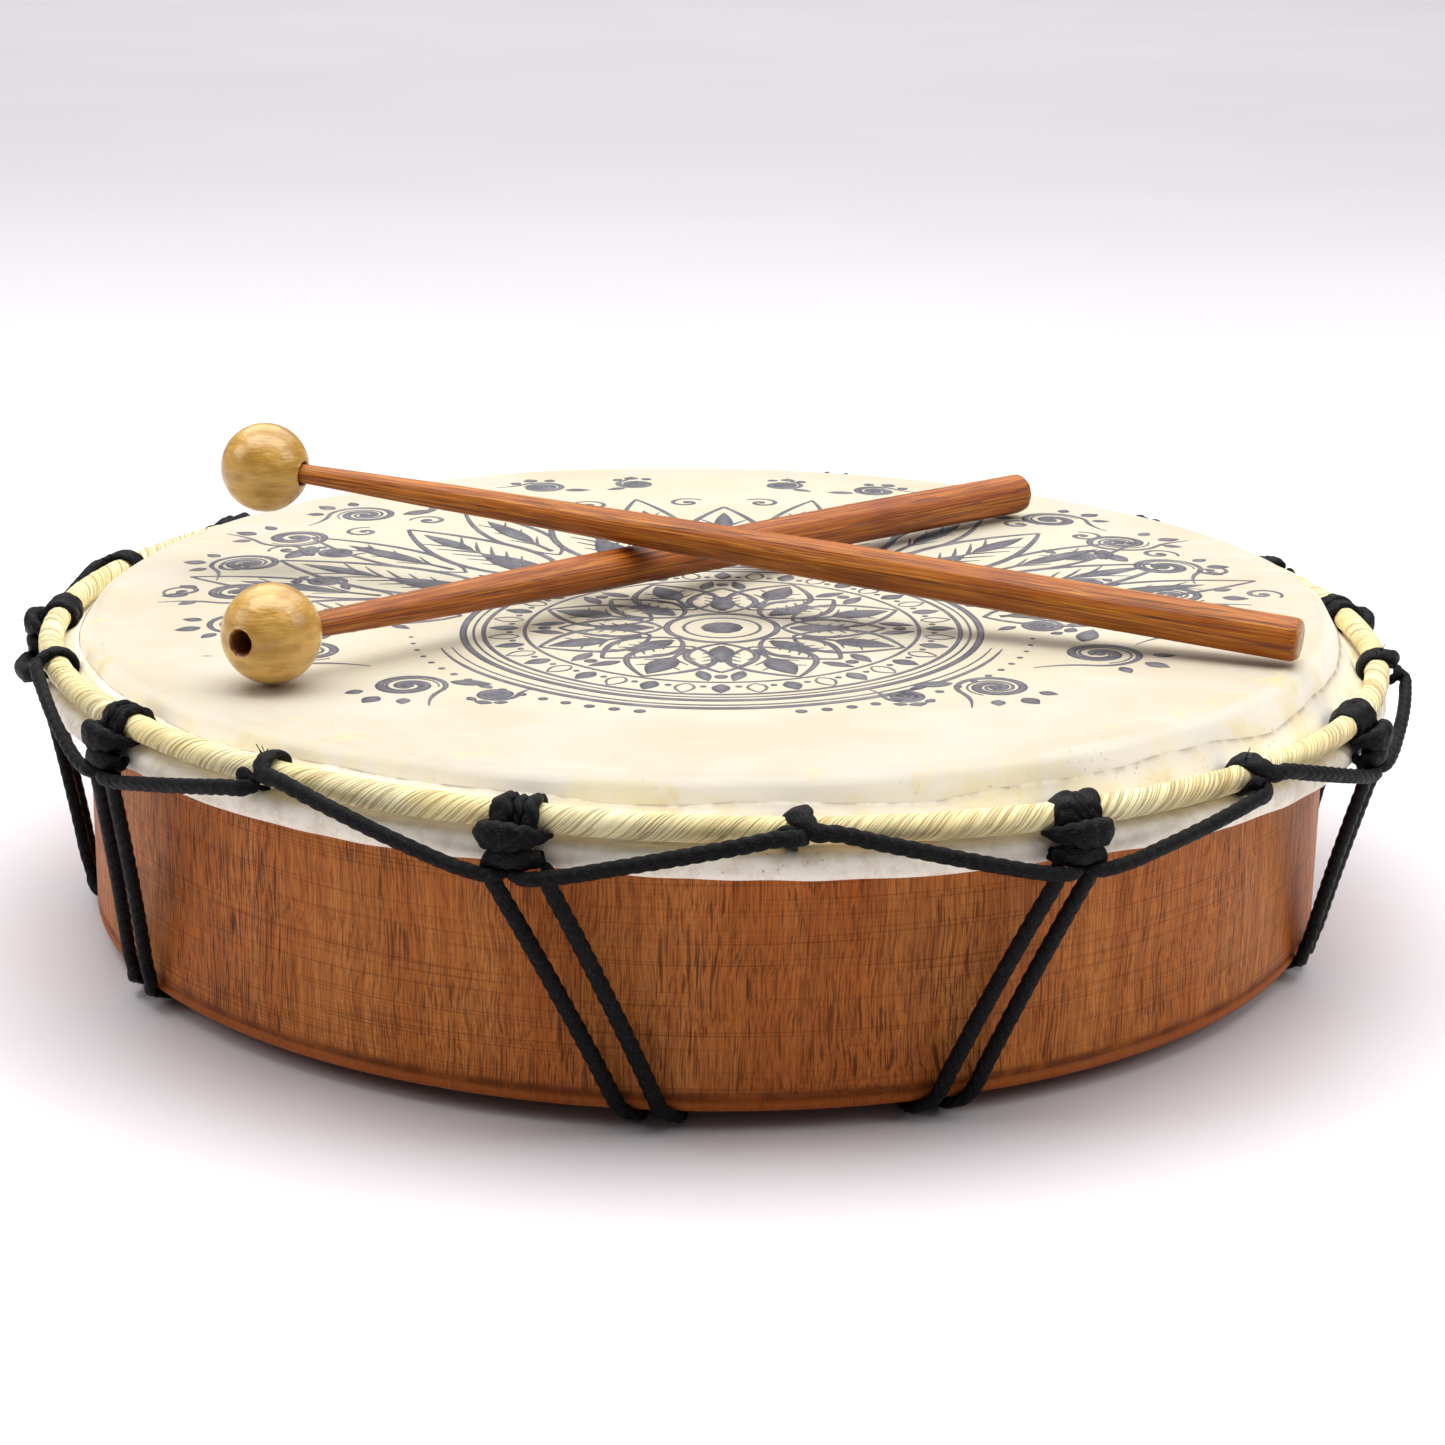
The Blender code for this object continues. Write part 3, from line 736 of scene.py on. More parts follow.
def build_ring(material):
    """The wound ring. Its strip lies in many narrow creases and a few wider steps."""
    steps, around = 3000, 40
    random = np.random.default_rng(31)
    angles = around_drum(steps)
    spin = full_turn(around)
    phase = (np.arange(steps) / steps * STRIP_TURNS)[:, None] - spin[None, :] / TURN
    fine = np.linspace(0, STRIP_TURNS, 24001)
    table = np.zeros_like(fine)
    edges = np.zeros_like(fine)
    spot = 0.0
    while spot < STRIP_TURNS:
        depth = random.uniform(0.45, 1.0) * (0.75 + 0.25 * math.sin(spot * 1.7))
        table -= 0.00018 * depth * np.exp(-((fine - spot) / random.uniform(0.020, 0.026)) ** 2)
        spot += random.uniform(0.044, 0.078)
    spot = 0.4
    while spot < STRIP_TURNS:
        table += 0.00012 * np.exp(-np.clip(fine - spot, 0, None) / 0.22) * (fine >= spot)
        edges += np.exp(-((fine - spot) / 0.026) ** 2)
        spot += random.uniform(0.6, 1.1)
    wrapped = phase % STRIP_TURNS
    relief = np.interp(wrapped, fine, table)
    relief += 0.00008 * np.sin(spin[None, :] * 2 + np.radians(angles)[:, None] * 7)
    reach = RING_RADIUS - 0.0001 + relief
    radius = RING_CENTRE[0] + reach * np.cos(spin)[None, :]
    height = RING_CENTRE[1] + reach * np.sin(spin)[None, :]
    points = settle(station(angles[:, None], radius, height))
    shape = Shape()
    shape.grid(points, np.linspace(0, STRIP_PITCH * STRIP_TURNS, steps + 1), np.linspace(0, 1, around + 1),
               closed_along=True)
    obj = shape.build("crown_ring", material, "drum", "wrapping_strip", ["crown_wrap"])
    # The steps' edges, along which the material paints shade
    store(obj, "step", np.interp(wrapped, fine, edges))
    return obj


# ---------------------------------------------------------------- lacing

def ring_place(angle, rows):
    """Rows of (sideways, radius, height, ...) in mm beside a station angle, as world rows in metres."""
    rows = np.array(rows, float)
    turned = angle + np.degrees(rows[:, 0] / LACING_REACH)
    places = station(turned, rows[:, 1] * MM, rows[:, 2] * MM)
    return np.hstack((places, rows[:, 3:]))


def sweep(shape, rows, normals="out", core=None, step=0.00034, sides=18, relief=0.20, lean=True,
          boxy=1.0):
    """Add a braided strand along rows of (place, width, thickness), widths in mm.

    Its flat side faces away from a core circle of (radius, height), or away from the drum's axis."""
    path = spline(rows, step)
    centre = settle(path[:, :3]) if lean else path[:, :3]
    width = np.clip(path[:, 3], 0.2, None) * MM / 2
    depth = np.clip(path[:, 4], 0.2, None) * MM / 2
    tangent = np.gradient(centre, axis=0)
    tangent /= np.linalg.norm(tangent, axis=1)[:, None]
    if core is None:
        outward = centre * (1, 1, 0)
    else:
        radial = centre * (1, 1, 0)
        radial /= np.linalg.norm(radial, axis=1)[:, None]
        middle = settle(radial * core[0] * MM + np.array((0, 0, core[1] * MM)))
        outward = centre - middle
    if normals == "up":
        outward = np.tile((0.0, 0.0, 1.0), (len(centre), 1))
    outward = outward - tangent * np.sum(outward * tangent, 1)[:, None]
    outward /= np.linalg.norm(outward, axis=1)[:, None]
    side = np.cross(tangent, outward)
    lengths = np.concatenate(((0,), np.cumsum(np.linalg.norm(np.diff(centre, axis=0), axis=1)))) / MM
    turn = full_turn(sides)
    flat = np.sign(np.cos(turn)) * np.abs(np.cos(turn)) ** boxy
    tall = np.sign(np.sin(turn)) * np.abs(np.sin(turn)) ** boxy
    # Yarns that lean towards a groove along the middle of each face
    yarn = np.abs(np.sin(math.pi * (lengths[:, None] / YARN_PITCH + YARN_LEAN * np.abs(flat[None, :]))))
    groove = 0.45 * np.exp(-(flat[None, :] / 0.15) ** 2)
    bump = (yarn ** 0.8 - 0.65 - groove) * relief * MM * np.minimum(1, depth / 0.0008)[:, None]
    across = width[:, None] * flat[None, :] + bump * flat[None, :]
    through = depth[:, None] * tall[None, :] + bump * tall[None, :]
    points = centre[:, None] + side[:, None] * across[..., None] + outward[:, None] * through[..., None]
    shape.grid(points, lengths, np.linspace(0, 1, sides + 1), caps=True)
    return centre


def over_ring(turn, reach):
    """(radius, height) in mm at a turn in degrees and a reach from the ring's middle."""
    turn = math.radians(turn)
    return RING_MM[0] + reach * math.cos(turn), RING_MM[1] + reach * math.sin(turn)


def frayed(shape, angle, spot, count, length, seed):
    """A few loose yarns standing out of a knot at (sideways, radius, height) in mm."""
    random = np.random.default_rng(seed)
    for _ in range(count):
        start = np.array(spot) + random.uniform(-0.8, 0.8, 3) * (1.6, 0.4, 0.4)
        heading = random.normal(0, 1, 3) * (1.0, 0.5, 0.4) + (0, 0.3, 1.1)
        heading /= np.linalg.norm(heading)
        reach = length * random.uniform(0.5, 1.0)
        bend = random.normal(0, 0.35, 3)
        rows = [(*(start + heading * reach * part + bend * reach * part * part), 0.24 - 0.10 * part,
                 0.24 - 0.10 * part) for part in (0.0, 0.35, 0.7, 1.0)]
        sweep(shape, ring_place(angle, rows), step=0.0006, sides=5, relief=0.0)


def build_hitch(number, entry, material):
    """The hitch over the ring, its crossbar, the turn below it, and the two legs to the foot."""
    angle, foot_one, foot_two, leg_one, leg_two, hand = entry
    shape = Shape()
    random = np.random.default_rng(100 + number)
    # Two flat passes over the ring, side by side
    for side in (-1, 1):
        jitter = random.uniform(-0.2, 0.2)
        rows = []
        for turn, reach in ((-45, 4.7), (-20, 4.0), (5, 3.4), (30, 3.1), (60, 3.0), (90, 2.95),
                            (120, 2.95), (150, 3.1), (180, 3.3), (210, 3.35)):
            spread = 2.45 + 0.35 * smooth((turn - 10) / 60)
            sideways = side * spread + 0.3 * jitter - hand * 0.5 * smooth((turn - 10) / 60)
            rows.append((sideways, *over_ring(turn, reach + side * 0.06), 5.6 + jitter, 2.1))
        rows += [(side * 2.4, 158.6, 65.5, 4.2, 0.9), (side * 2.2, 161.4, 65.4, 4.0, 0.9),
                 (side * 2.0, 163.4, 64.6, 3.6, 1.2)]
        sweep(shape, ring_place(angle, rows), core=RING_MM, relief=0.40, boxy=0.55)
    # A third pass lies under the two, and the middle of the knot is swept as one thick strand behind its
    # turns
    rows = []
    for turn, reach in ((-45, 4.4), (-15, 3.7), (15, 3.1), (50, 2.9), (90, 2.85), (130, 2.85),
                        (170, 3.0)):
        rows.append((-hand * 0.4 * smooth((turn - 10) / 60), *over_ring(turn, reach), 4.6, 1.7))
    sweep(shape, ring_place(angle, rows), core=RING_MM, relief=0.30, boxy=0.6)
    rows = ((0.0, 161.8, 67.6, 6.4, 1.8), (0.0, 163.4, 66.0, 7.6, 2.4), (0.0, 164.2, 64.2, 8.0, 2.6),
            (hand * 0.4, 164.6, 62.4, 8.0, 2.6), (hand * 0.2, 164.5, 60.9, 6.6, 2.2),
            (0.0, 164.2, 59.9, 4.4, 1.6))
    sweep(shape, ring_place(angle, rows), relief=0.30, boxy=0.7)
    # The crossbar, tapering on one side to where it is tucked under the ring
    rows = ((-3.8, 161.8, 66.6, 3.2, 1.8), (-5.2, 163.3, 66.4, 4.6, 2.8), (-5.3, 165.1, 66.4, 5.4, 3.4),
            (-3.7, 166.4, 66.6, 6.0, 3.7), (-1.3, 166.9, 66.8, 6.2, 3.8), (1.3, 166.8, 66.8, 5.8, 3.7),
            (3.6, 166.0, 66.8, 4.8, 3.1), (5.4, 164.6, 66.7, 3.4, 2.2), (6.8, 163.2, 66.6, 2.0, 1.2),
            (7.8, 162.2, 66.5, 0.8, 0.6))
    rows = [(hand * row[0], *row[1:]) for row in rows]
    sweep(shape, ring_place(angle, rows), relief=0.42, boxy=0.85)
    # The turn under the crossbar runs on into one leg
    legs = {-1: (leg_one, foot_one), 1: (leg_two, foot_two)}
    for side in (hand, -hand):
        place, foot = legs[side]
        foot_at = (foot - angle) * math.radians(1) * LACING_REACH
        if side == -hand:
            top = [(hand * 5.0, 162.4, 62.2, 3.0, 1.6), (hand * 5.2, 164.0, 62.0, 3.8, 2.4),
                   (hand * 3.4, 165.8, 62.3, 4.6, 3.2), (hand * 0.6, 166.5, 62.6, 4.8, 3.5),
                   (-hand * 2.0, 166.4, 62.2, 4.6, 3.3), (-hand * 3.6, 165.8, 60.9, 4.0, 3.2),
                   (place - hand * 0.8, 165.4, 58.8, 3.6, 3.1)]
        else:
            top = [(place - side * 1.8, 162.8, 60.4, 2.4, 1.6), (place - side * 0.8, 163.8, 59.3, 3.0, 2.3),
                   (place - side * 0.1, 164.5, 58.2, 3.4, 2.7)]
        straight_top = np.array((place, 164.9, 56.6))
        straight_foot = np.array((foot_at, LEG_FOOT[0] / MM - 0.3, LEG_FOOT[1] / MM))
        rows = list(top)
        for part in (0.0, 0.2, 0.4, 0.6, 0.76, 0.88):
            bow = -0.5 * math.sin(math.pi * part)
            spot = straight_top + (straight_foot - straight_top) * part
            rows.append((spot[0], spot[1] + bow, spot[2], 3.45, 3.0))
        onward = math.copysign(1.0, foot - angle)
        for past, *rest in ((-0.7, 152.2, 7.4, 3.4, 2.9), (0.9, 151.8, 5.2, 3.1, 2.7),
                            (2.5, 151.0, 4.0, 2.6, 2.6), (3.9, 149.4, 3.0, 2.2, 2.6),
                            (4.1, 146.4, 2.1, 3.0, 2.8), (4.0, 141.0, 1.86, 3.3, 3.2),
                            (3.8, 133.0, 1.82, 3.1, 3.1)):
            rows.append((foot_at + past * onward, *rest))
        sweep(shape, ring_place(angle, rows), relief=0.28)
    if number == 7:
        frayed(shape, angle, (1.5, 158.5, 72.6), 5, 1.8, 400 + number)
    name = f"hitch_{number:02d}"
    return shape.build(name, material, "drum", "waxed_cord", [f"side_cord_{number:02d}"])


def build_zigzag(number, entry, tie, following, next_angle, material):
    """The strand from one hitch up to its tie, round the ring, and down to the next hitch."""
    shape = Shape()
    hand, next_hand = entry[5], following[5]
    left = (entry[0] - tie) * math.radians(1) * LACING_REACH
    right = (next_angle - tie) * math.radians(1) * LACING_REACH
    rows = []
    # From the left hitch
    start = left + (0.6 if hand > 0 else 1.6)
    depth_first = 164.0 if hand > 0 else 165.2
    rows.append((start - 1.8, depth_first - 1.6, 59.6, 2.8, 1.8))
    rows.append((start + 0.4, depth_first + 1.6, 58.9, 3.3, 2.6))
    rows.append((start + 3.6, 167.3, 58.8, 3.4, 2.9))
    low, high = start + 3.6, -3.2
    # This run meets the tie higher on one knot than on the others
    rise = 3.0 if number == 5 else 0.0
    pull = 1.5 if number == 7 else 0.0
    for share, height, radius in ((0.15, 59.6, 167.2), (0.30, 60.9, 166.9), (0.48, 62.4, 166.7),
                                  (0.66, 63.9, 166.6), (0.84, 65.4, 166.5), (0.96, 66.4, 166.4)):
        rows.append((low + (high - low) * share, radius, height + rise * share, 3.4, 2.9))
    # The tie round the ring
    rows += [
        (-2.0, 166.5, 66.8 + rise * 0.9, 3.5, 2.6), (0.0, 165.9, 67.4 + rise * 0.7, 3.4, 2.2),
        (0.9, 164.6, 67.8 + rise * 0.5, 3.2, 2.0),
        (-0.6, 164.4, 68.5 + rise * 0.3, 3.2, 1.9), (-2.4, 164.6, 69.0 + rise * 0.3, 3.6, 2.0),
        (-3.0, 163.9, 67.9 + rise * 0.4, 3.6, 1.9),
        (-2.3 + rise * 0.35, 161.9, 66.4, 3.0, 1.1), (-1.8 + rise * 0.4, 158.6, 65.7, 3.4, 1.0),
        (-1.0, 156.0, 67.4, 4.8, 1.5),
        (-0.4, 155.9, 70.1, 5.4, 1.8), (0.0, 157.7, 72.1, 5.8, 2.0), (0.4, 160.2, 72.6, 5.7, 2.1),
        (1.2, 162.7, 71.6, 4.8, 2.5), (3.2, 164.5 - pull, 70.2, 3.9, 2.9),
    ]
    # Down to the right hitch
    stop = right - (1.6 if next_hand > 0 else 0.6)
    low, high = stop - 3.6, 3.2
    for share, height, radius in ((0.09, 70.0, 165.2), (0.23, 68.3, 165.5), (0.39, 66.3, 165.9),
                                  (0.56, 64.1, 166.4), (0.73, 61.9, 166.8), (0.88, 60.0, 167.2),
                                  (1.0, 58.9, 167.3)):
        rows.append((high + (low - high) * share, radius - pull * (1 - share), height, 3.4, 2.9))
    depth_last = 165.2 if next_hand > 0 else 164.0
    rows.append((stop - 0.4, depth_last + 1.6, 58.8, 3.3, 2.6))
    rows.append((stop + 1.8, depth_last - 1.6, 59.5, 2.8, 1.8))
    sweep(shape, ring_place(tie, rows), core=(158.4, 67.8), relief=0.28)
    if number in (4, 6, 7):
        frayed(shape, tie, (-0.4, 159.9, 72.6), 6, 2.2, 500 + number)
    name = f"zigzag_{number:02d}"
    return shape.build(name, material, "drum", "waxed_cord", [f"zigzag_cord_{number:02d}"])


def build_back_line(number, entry, material):
    """Two strands under the shell that run in to the grip and turn back round it."""
    shape = Shape()
    foot_one, foot_two = entry[1], entry[2]
    middle = (foot_one + foot_two) / 2
    inner = (GRIP_RADIUS + GRIP_SECTION) / MM + 1.9
    # The legs turn under the rim a little past their feet, and the strands go on from there
    past = math.copysign(math.degrees(PAST_FOOT / LACING_REACH), middle - entry[0])
    rows = []
    for foot, side in ((foot_one + past, -1), (foot_two + past, 1)):
        leg = []
        for radius in (140.0, 120.0, 90.0, 60.0, 40.0):
            share = (radius - inner) / (144.0 - inner)
            near = station(middle, radius * MM, 0.0)
            far = station(foot, radius * MM, 0.0)
            across = station(middle + 90, 1.0, 0.0) * (side * 2.4 * MM)
            place = far * share + (near + across) * (1 - share)
            leg.append((place[0], place[1], 1.82 * MM, 3.4, 3.4))
        rows.append(leg)
    bight = []
    for turn in (-60, -20, 20, 60):
        across = station(middle + 90, 1.0, 0.0) * math.sin(math.radians(turn)) * 2.5 * MM
        place = station(middle, (inner + 2.6 - 2.4 * math.cos(math.radians(turn))) * MM, 0.0) + across
        bight.append((place[0], place[1], 1.9 * MM, 3.4, 3.4))
    path = rows[0] + bight + rows[1][::-1]
    sweep(shape, path, normals="up", step=0.0007, sides=12, relief=0.10, lean=False)
    name = f"back_line_{number:02d}"
    return shape.build(name, material, "drum", "waxed_cord", [f"back_cord_{number:02d}"])


def build_grip(material):
    """The ring in the middle of the back, wound closely with the same cord."""
    steps, around, coils = 600, 24, 46
    spin = full_turn(around)
    share = np.arange(steps) / steps
    lean = share[:, None] * coils + spin[None, :] / TURN
    relief = np.abs(np.sin(math.pi * lean)) ** 0.7
    reach = GRIP_SECTION - 0.0011 + 0.0012 * relief
    radius = GRIP_RADIUS + reach * np.cos(spin)[None, :]
    height = 0.0046 + reach * np.sin(spin)[None, :]
    points = station(share[:, None] * 360, radius, height)
    shape = Shape()
    shape.grid(points, np.linspace(0, 163.0, steps + 1), np.linspace(0, 1, around + 1),
               closed_along=True)
    return shape.build("grip_winding", material, "drum", "waxed_cord", ["grip_ring"])


# ---------------------------------------------------------------- beaters

def axle_frame(ball, butt):
    """The frame of a beater: its origin in the middle of the ball, and +Z towards the butt."""
    along = Vector(butt) - Vector(ball)
    turned = along.to_track_quat("Z", "Y").to_matrix().to_4x4()
    return Matrix.Translation(ball) @ turned, along.length


def build_stick(name, ball, butt, taper, butt_radius, seed, material, body, node):
    """A whittled stick: uneven flats along it, a cut butt, and its tenon in the ball."""
    place, length = axle_frame(ball, butt)
    random = np.random.default_rng(seed)
    distances = np.concatenate(((-0.003, 0.004, 0.0096, 0.0104),
                                np.linspace(0.0112, length - 0.0016, 150),
                                length - np.array((0.0011, 0.0007, 0.00035, 0.0001))))
    knots, radii = zip(*taper, (length, butt_radius))
    radius = np.interp(distances, knots, radii)
    radius[:3] = 0.0023
    radius[-5:] -= np.array((0.00008, 0.00026, 0.00052, 0.00086, 0.0012))
    sides = 60
    turn = full_turn(sides)
    facets = np.sort((np.arange(9) + random.uniform(-0.26, 0.26, 9)) / 9 * TURN)
    wander = ripple(distances / length * 3, (1, 2), seed)[:, None] * 0.22
    reach = np.full((len(distances), sides), 9.0)
    for index, facet in enumerate(facets):
        uneven = 0.965 + 0.020 * np.sin(distances * 55 + index * 2.1)[:, None]
        gap = (turn[None, :] + wander - facet + math.pi) % TURN - math.pi
        cosine = np.cos(gap)
        reach = np.where(cosine > 0.3, np.minimum(reach, uneven / np.maximum(cosine, 0.3)), reach)
    reach = np.minimum(reach, 1.0 + 0.01 * np.sin(turn * 2)[None, :])
    body_share = smooth((distances - 0.010) / 0.014)[:, None]
    reach = 1 + (reach - 1) * body_share
    chips = 1 + 0.004 * np.sin(distances * 900 + seed)[:, None] * np.sin(turn * 5)[None, :] * body_share
    grid_radius = radius[:, None] * reach * chips
    bow = 0.0004 * np.sin(np.pi * np.clip(distances / length, 0, 1))
    points = np.stack(np.broadcast_arrays(grid_radius * np.cos(turn) + bow[:, None],
                                          grid_radius * np.sin(turn), distances[:, None]), -1)
    # The butt's end face, slightly domed
    tip = []
    for share in (0.8, 0.45, 0.12):
        ring = points[-1].copy()
        ring[:, :2] *= share
        ring[:, 2] = length - 0.00010 + 0.00010 * (1 - share)
        tip.append(ring)
    points = np.concatenate((points, np.array(tip)), 0)
    shape = Shape()
    shape.grid(points, np.arange(len(points)) * 1.0, np.linspace(0, 1, sides + 1), caps=True)
    obj = shape.build(name, material, body, "stained_wood", [node], place=place)
    end = np.zeros((len(points), sides))
    end[-4:] = 1.0
    end[-5] = 0.8
    end[-6] = 0.3
    store(obj, "end_grain", end)
    crisp_beyond(obj, 40)
    return obj


def build_ball(name, ball, butt, seed, wander, material, body, node):
    """A drilled ball, turned by hand and not quite round."""
    place, _ = axle_frame(ball, butt)
    mouth = math.degrees(math.asin(BALL_BORE / BALL_RADIUS))
    outer = arc((0, 0), BALL_RADIUS, 90 - mouth - 3, -90 + mouth + 3, 46)
    lip = BALL_RADIUS * math.cos(math.radians(mouth))
    profile = np.vstack((
        ((0.0026, lip - 0.0006), (BALL_BORE + 0.0001, lip - 0.0002),
         (BALL_BORE + 0.0004, lip + 0.00002)),
        outer,
        ((BALL_BORE + 0.0004, -lip - 0.00002), (BALL_BORE + 0.0001, -lip + 0.0002),
         (0.0026, -lip + 0.0006)),
        ((0.0026, -0.0075), (0.0025, -0.0035), (0.0024, 0.0), (0.0024, 0.004), (0.0025, 0.008)),
    ))
    steps = 96
    turn = full_turn(steps)
    oval = 1 + 0.006 * np.cos(2 * turn + seed)[:, None]
    ragged = 1 + 0.03 * ripple(turn, (3, 7, 11), seed)[:, None] * (profile[None, :, 0] < 0.0034)
    reach = profile[None, :, 0] * oval * ragged
    points = np.stack(np.broadcast_arrays(reach * np.cos(turn)[:, None], reach * np.sin(turn)[:, None],
                                          profile[None, :, 1] * (1 + 0.004 * math.sin(seed))), -1)
    # The hole was drilled a little off the ball's middle, so its far mouth stands aside
    axis = np.array(place.to_3x3().inverted() @ Vector((0, 0, 1)))
    wry = np.radians(wander) * smooth(-points[..., 2:] / BALL_RADIUS)
    turned = np.cross(np.broadcast_to(axis, points.shape), points)
    level = np.sum(points * axis, -1, keepdims=True) * axis
    points = level + (points - level) * np.cos(wry) + turned * np.sin(wry)
    shape = Shape()
    shape.grid(points, np.arange(steps + 1.0), np.arange(len(profile) + 1.0), closed_along=True)
    obj = shape.build(name, material, body, "pale_wood", [node], place=place)
    # Marks the hole and its mouth, which the material darkens as painted shade
    store(obj, "bore", np.tile(profile[:, 0] < BALL_BORE + 0.0002, steps))
    crisp_beyond(obj, 50)
    return obj


# ---------------------------------------------------------------- the print

class Print:
    """A generic ornament drawn in thin raised ink, in millimetres on the head."""

    def __init__(self):
        self.shape = Shape()

    def plate(self, outline, faces):
        outline = np.array(outline, float)
        top = head_point(outline[:, 0], outline[:, 1], 0.00007)
        bottom = head_point(outline[:, 0], outline[:, 1], -0.00012)
        self.shape.solid(top, bottom, faces)

    def ribbon(self, points, widths, closed=False):
        """A line of changing width."""
        points = np.array(points, float)
        widths = np.broadcast_to(np.array(widths, float), (len(points),))
        if closed:
            ahead, behind = np.roll(points, -1, 0), np.roll(points, 1, 0)
        else:
            ahead, behind = np.vstack((points[1:], points[-1])), np.vstack((points[0], points[:-1]))
        heading = ahead - behind
        heading /= np.linalg.norm(heading, axis=1)[:, None] + 1e-9
        side = np.stack((-heading[:, 1], heading[:, 0]), -1) * widths[:, None] / 2
        size = len(points)
        outline = np.vstack((points + side, points - side))
        faces = [[size + i, size + i + 1, i + 1, i] for i in range(size - 1)]
        if closed:
            faces.append([2 * size - 1, size, 0, size - 1])
        self.plate(outline, faces)

    def circle(self, centre, radius, width):
        steps = max(24, int(radius * 2.4))
        turn = full_turn(steps)
        self.ribbon(np.stack((centre[0] + radius * np.cos(turn), centre[1] + radius * np.sin(turn)), -1),
                    width, closed=True)

    def dot(self, centre, radius):
        turn = full_turn(10)
        outline = [(centre[0] + radius * math.cos(a), centre[1] + radius * math.sin(a)) for a in turn]
        self.plate(outline, [list(range(10))])

    def leaf(self, base, tip, width, line, veins=0, fill=False, pull=0.42):
        """A pointed leaf or petal between two points, as an outline or filled."""
        base, tip = np.array(base, float), np.array(tip, float)
        axis = tip - base
        length = float(np.linalg.norm(axis))
        axis /= length
        side = np.array((-axis[1], axis[0]))
        share = np.linspace(0, 1, 17)
        swell = np.sin(math.pi * share ** (pull / 0.5)) ** 0.9 * width / 2
        one = base + axis * (share * length)[:, None] + side * swell[:, None]
        two = base + axis * (share * length)[:, None] - side * swell[:, None]
        if fill:
            middle = slice(1, -1)
            outline = np.vstack((base, one[middle], two[middle], tip))
            count = 15
            faces = [[0, 1 + count, 1]]
            faces += [[1 + i, 1 + count + i, 2 + count + i, 2 + i] for i in range(count - 1)]
            faces.append([count, 2 * count, 2 * count + 1])
            self.plate(outline, faces)
            return
        taper = line * (0.55 + 0.45 * np.sin(math.pi * share))
        self.ribbon(one, taper)
        self.ribbon(two, taper)
        if veins:
            self.ribbon([base + axis * length * part for part in (0.08, 0.3, 0.5, 0.66)],
                        (line, line * 0.8, line * 0.55, line * 0.2))
        for index in range(veins):
            part = 0.22 + 0.5 * index / max(1, veins)
            root = base + axis * length * part
            for way in (-1, 1):
                end = root + axis * length * 0.15 + side * way * width * 0.27
                self.ribbon((root, (root + end) / 2 + axis * 0.4, end),
                            (line * 0.6, line * 0.5, line * 0.15))

    def scroll(self, centre, radius, start, turns, hand, width, tail=0.0):
        """A spiral that opens out from its centre, with a dot in the eye."""
        count = int(26 * turns)
        share = np.linspace(0, 1, count)
        angle = start + hand * turns * TURN * (share - 1)
        reach = radius * (0.14 + 0.86 * share ** 1.15)
        points = np.stack((centre[0] + reach * np.cos(angle), centre[1] + reach * np.sin(angle)), -1)
        widths = width * (0.55 + 0.6 * np.sin(math.pi * np.clip(share * 0.9 + 0.1, 0, 1)))
        if tail:
            last = points[-1]
            heading = points[-1] - points[-2]
            heading /= np.linalg.norm(heading)
            inward = np.array(centre) - last
            for part in np.linspace(0.2, 1, 6):
                bend = heading * tail * part - inward / radius * tail * 0.35 * part * part
                points = np.vstack((points, last + bend))
                widths = np.append(widths, width * (1.0 - 0.8 * part) * 0.7)
        self.ribbon(points, widths)
        self.dot((centre[0], centre[1]), width * 0.75)


def polar(centre, radius, degrees):
    turn = math.radians(degrees)
    return np.array((centre[0] + radius * math.cos(turn), centre[1] + radius * math.sin(turn)))


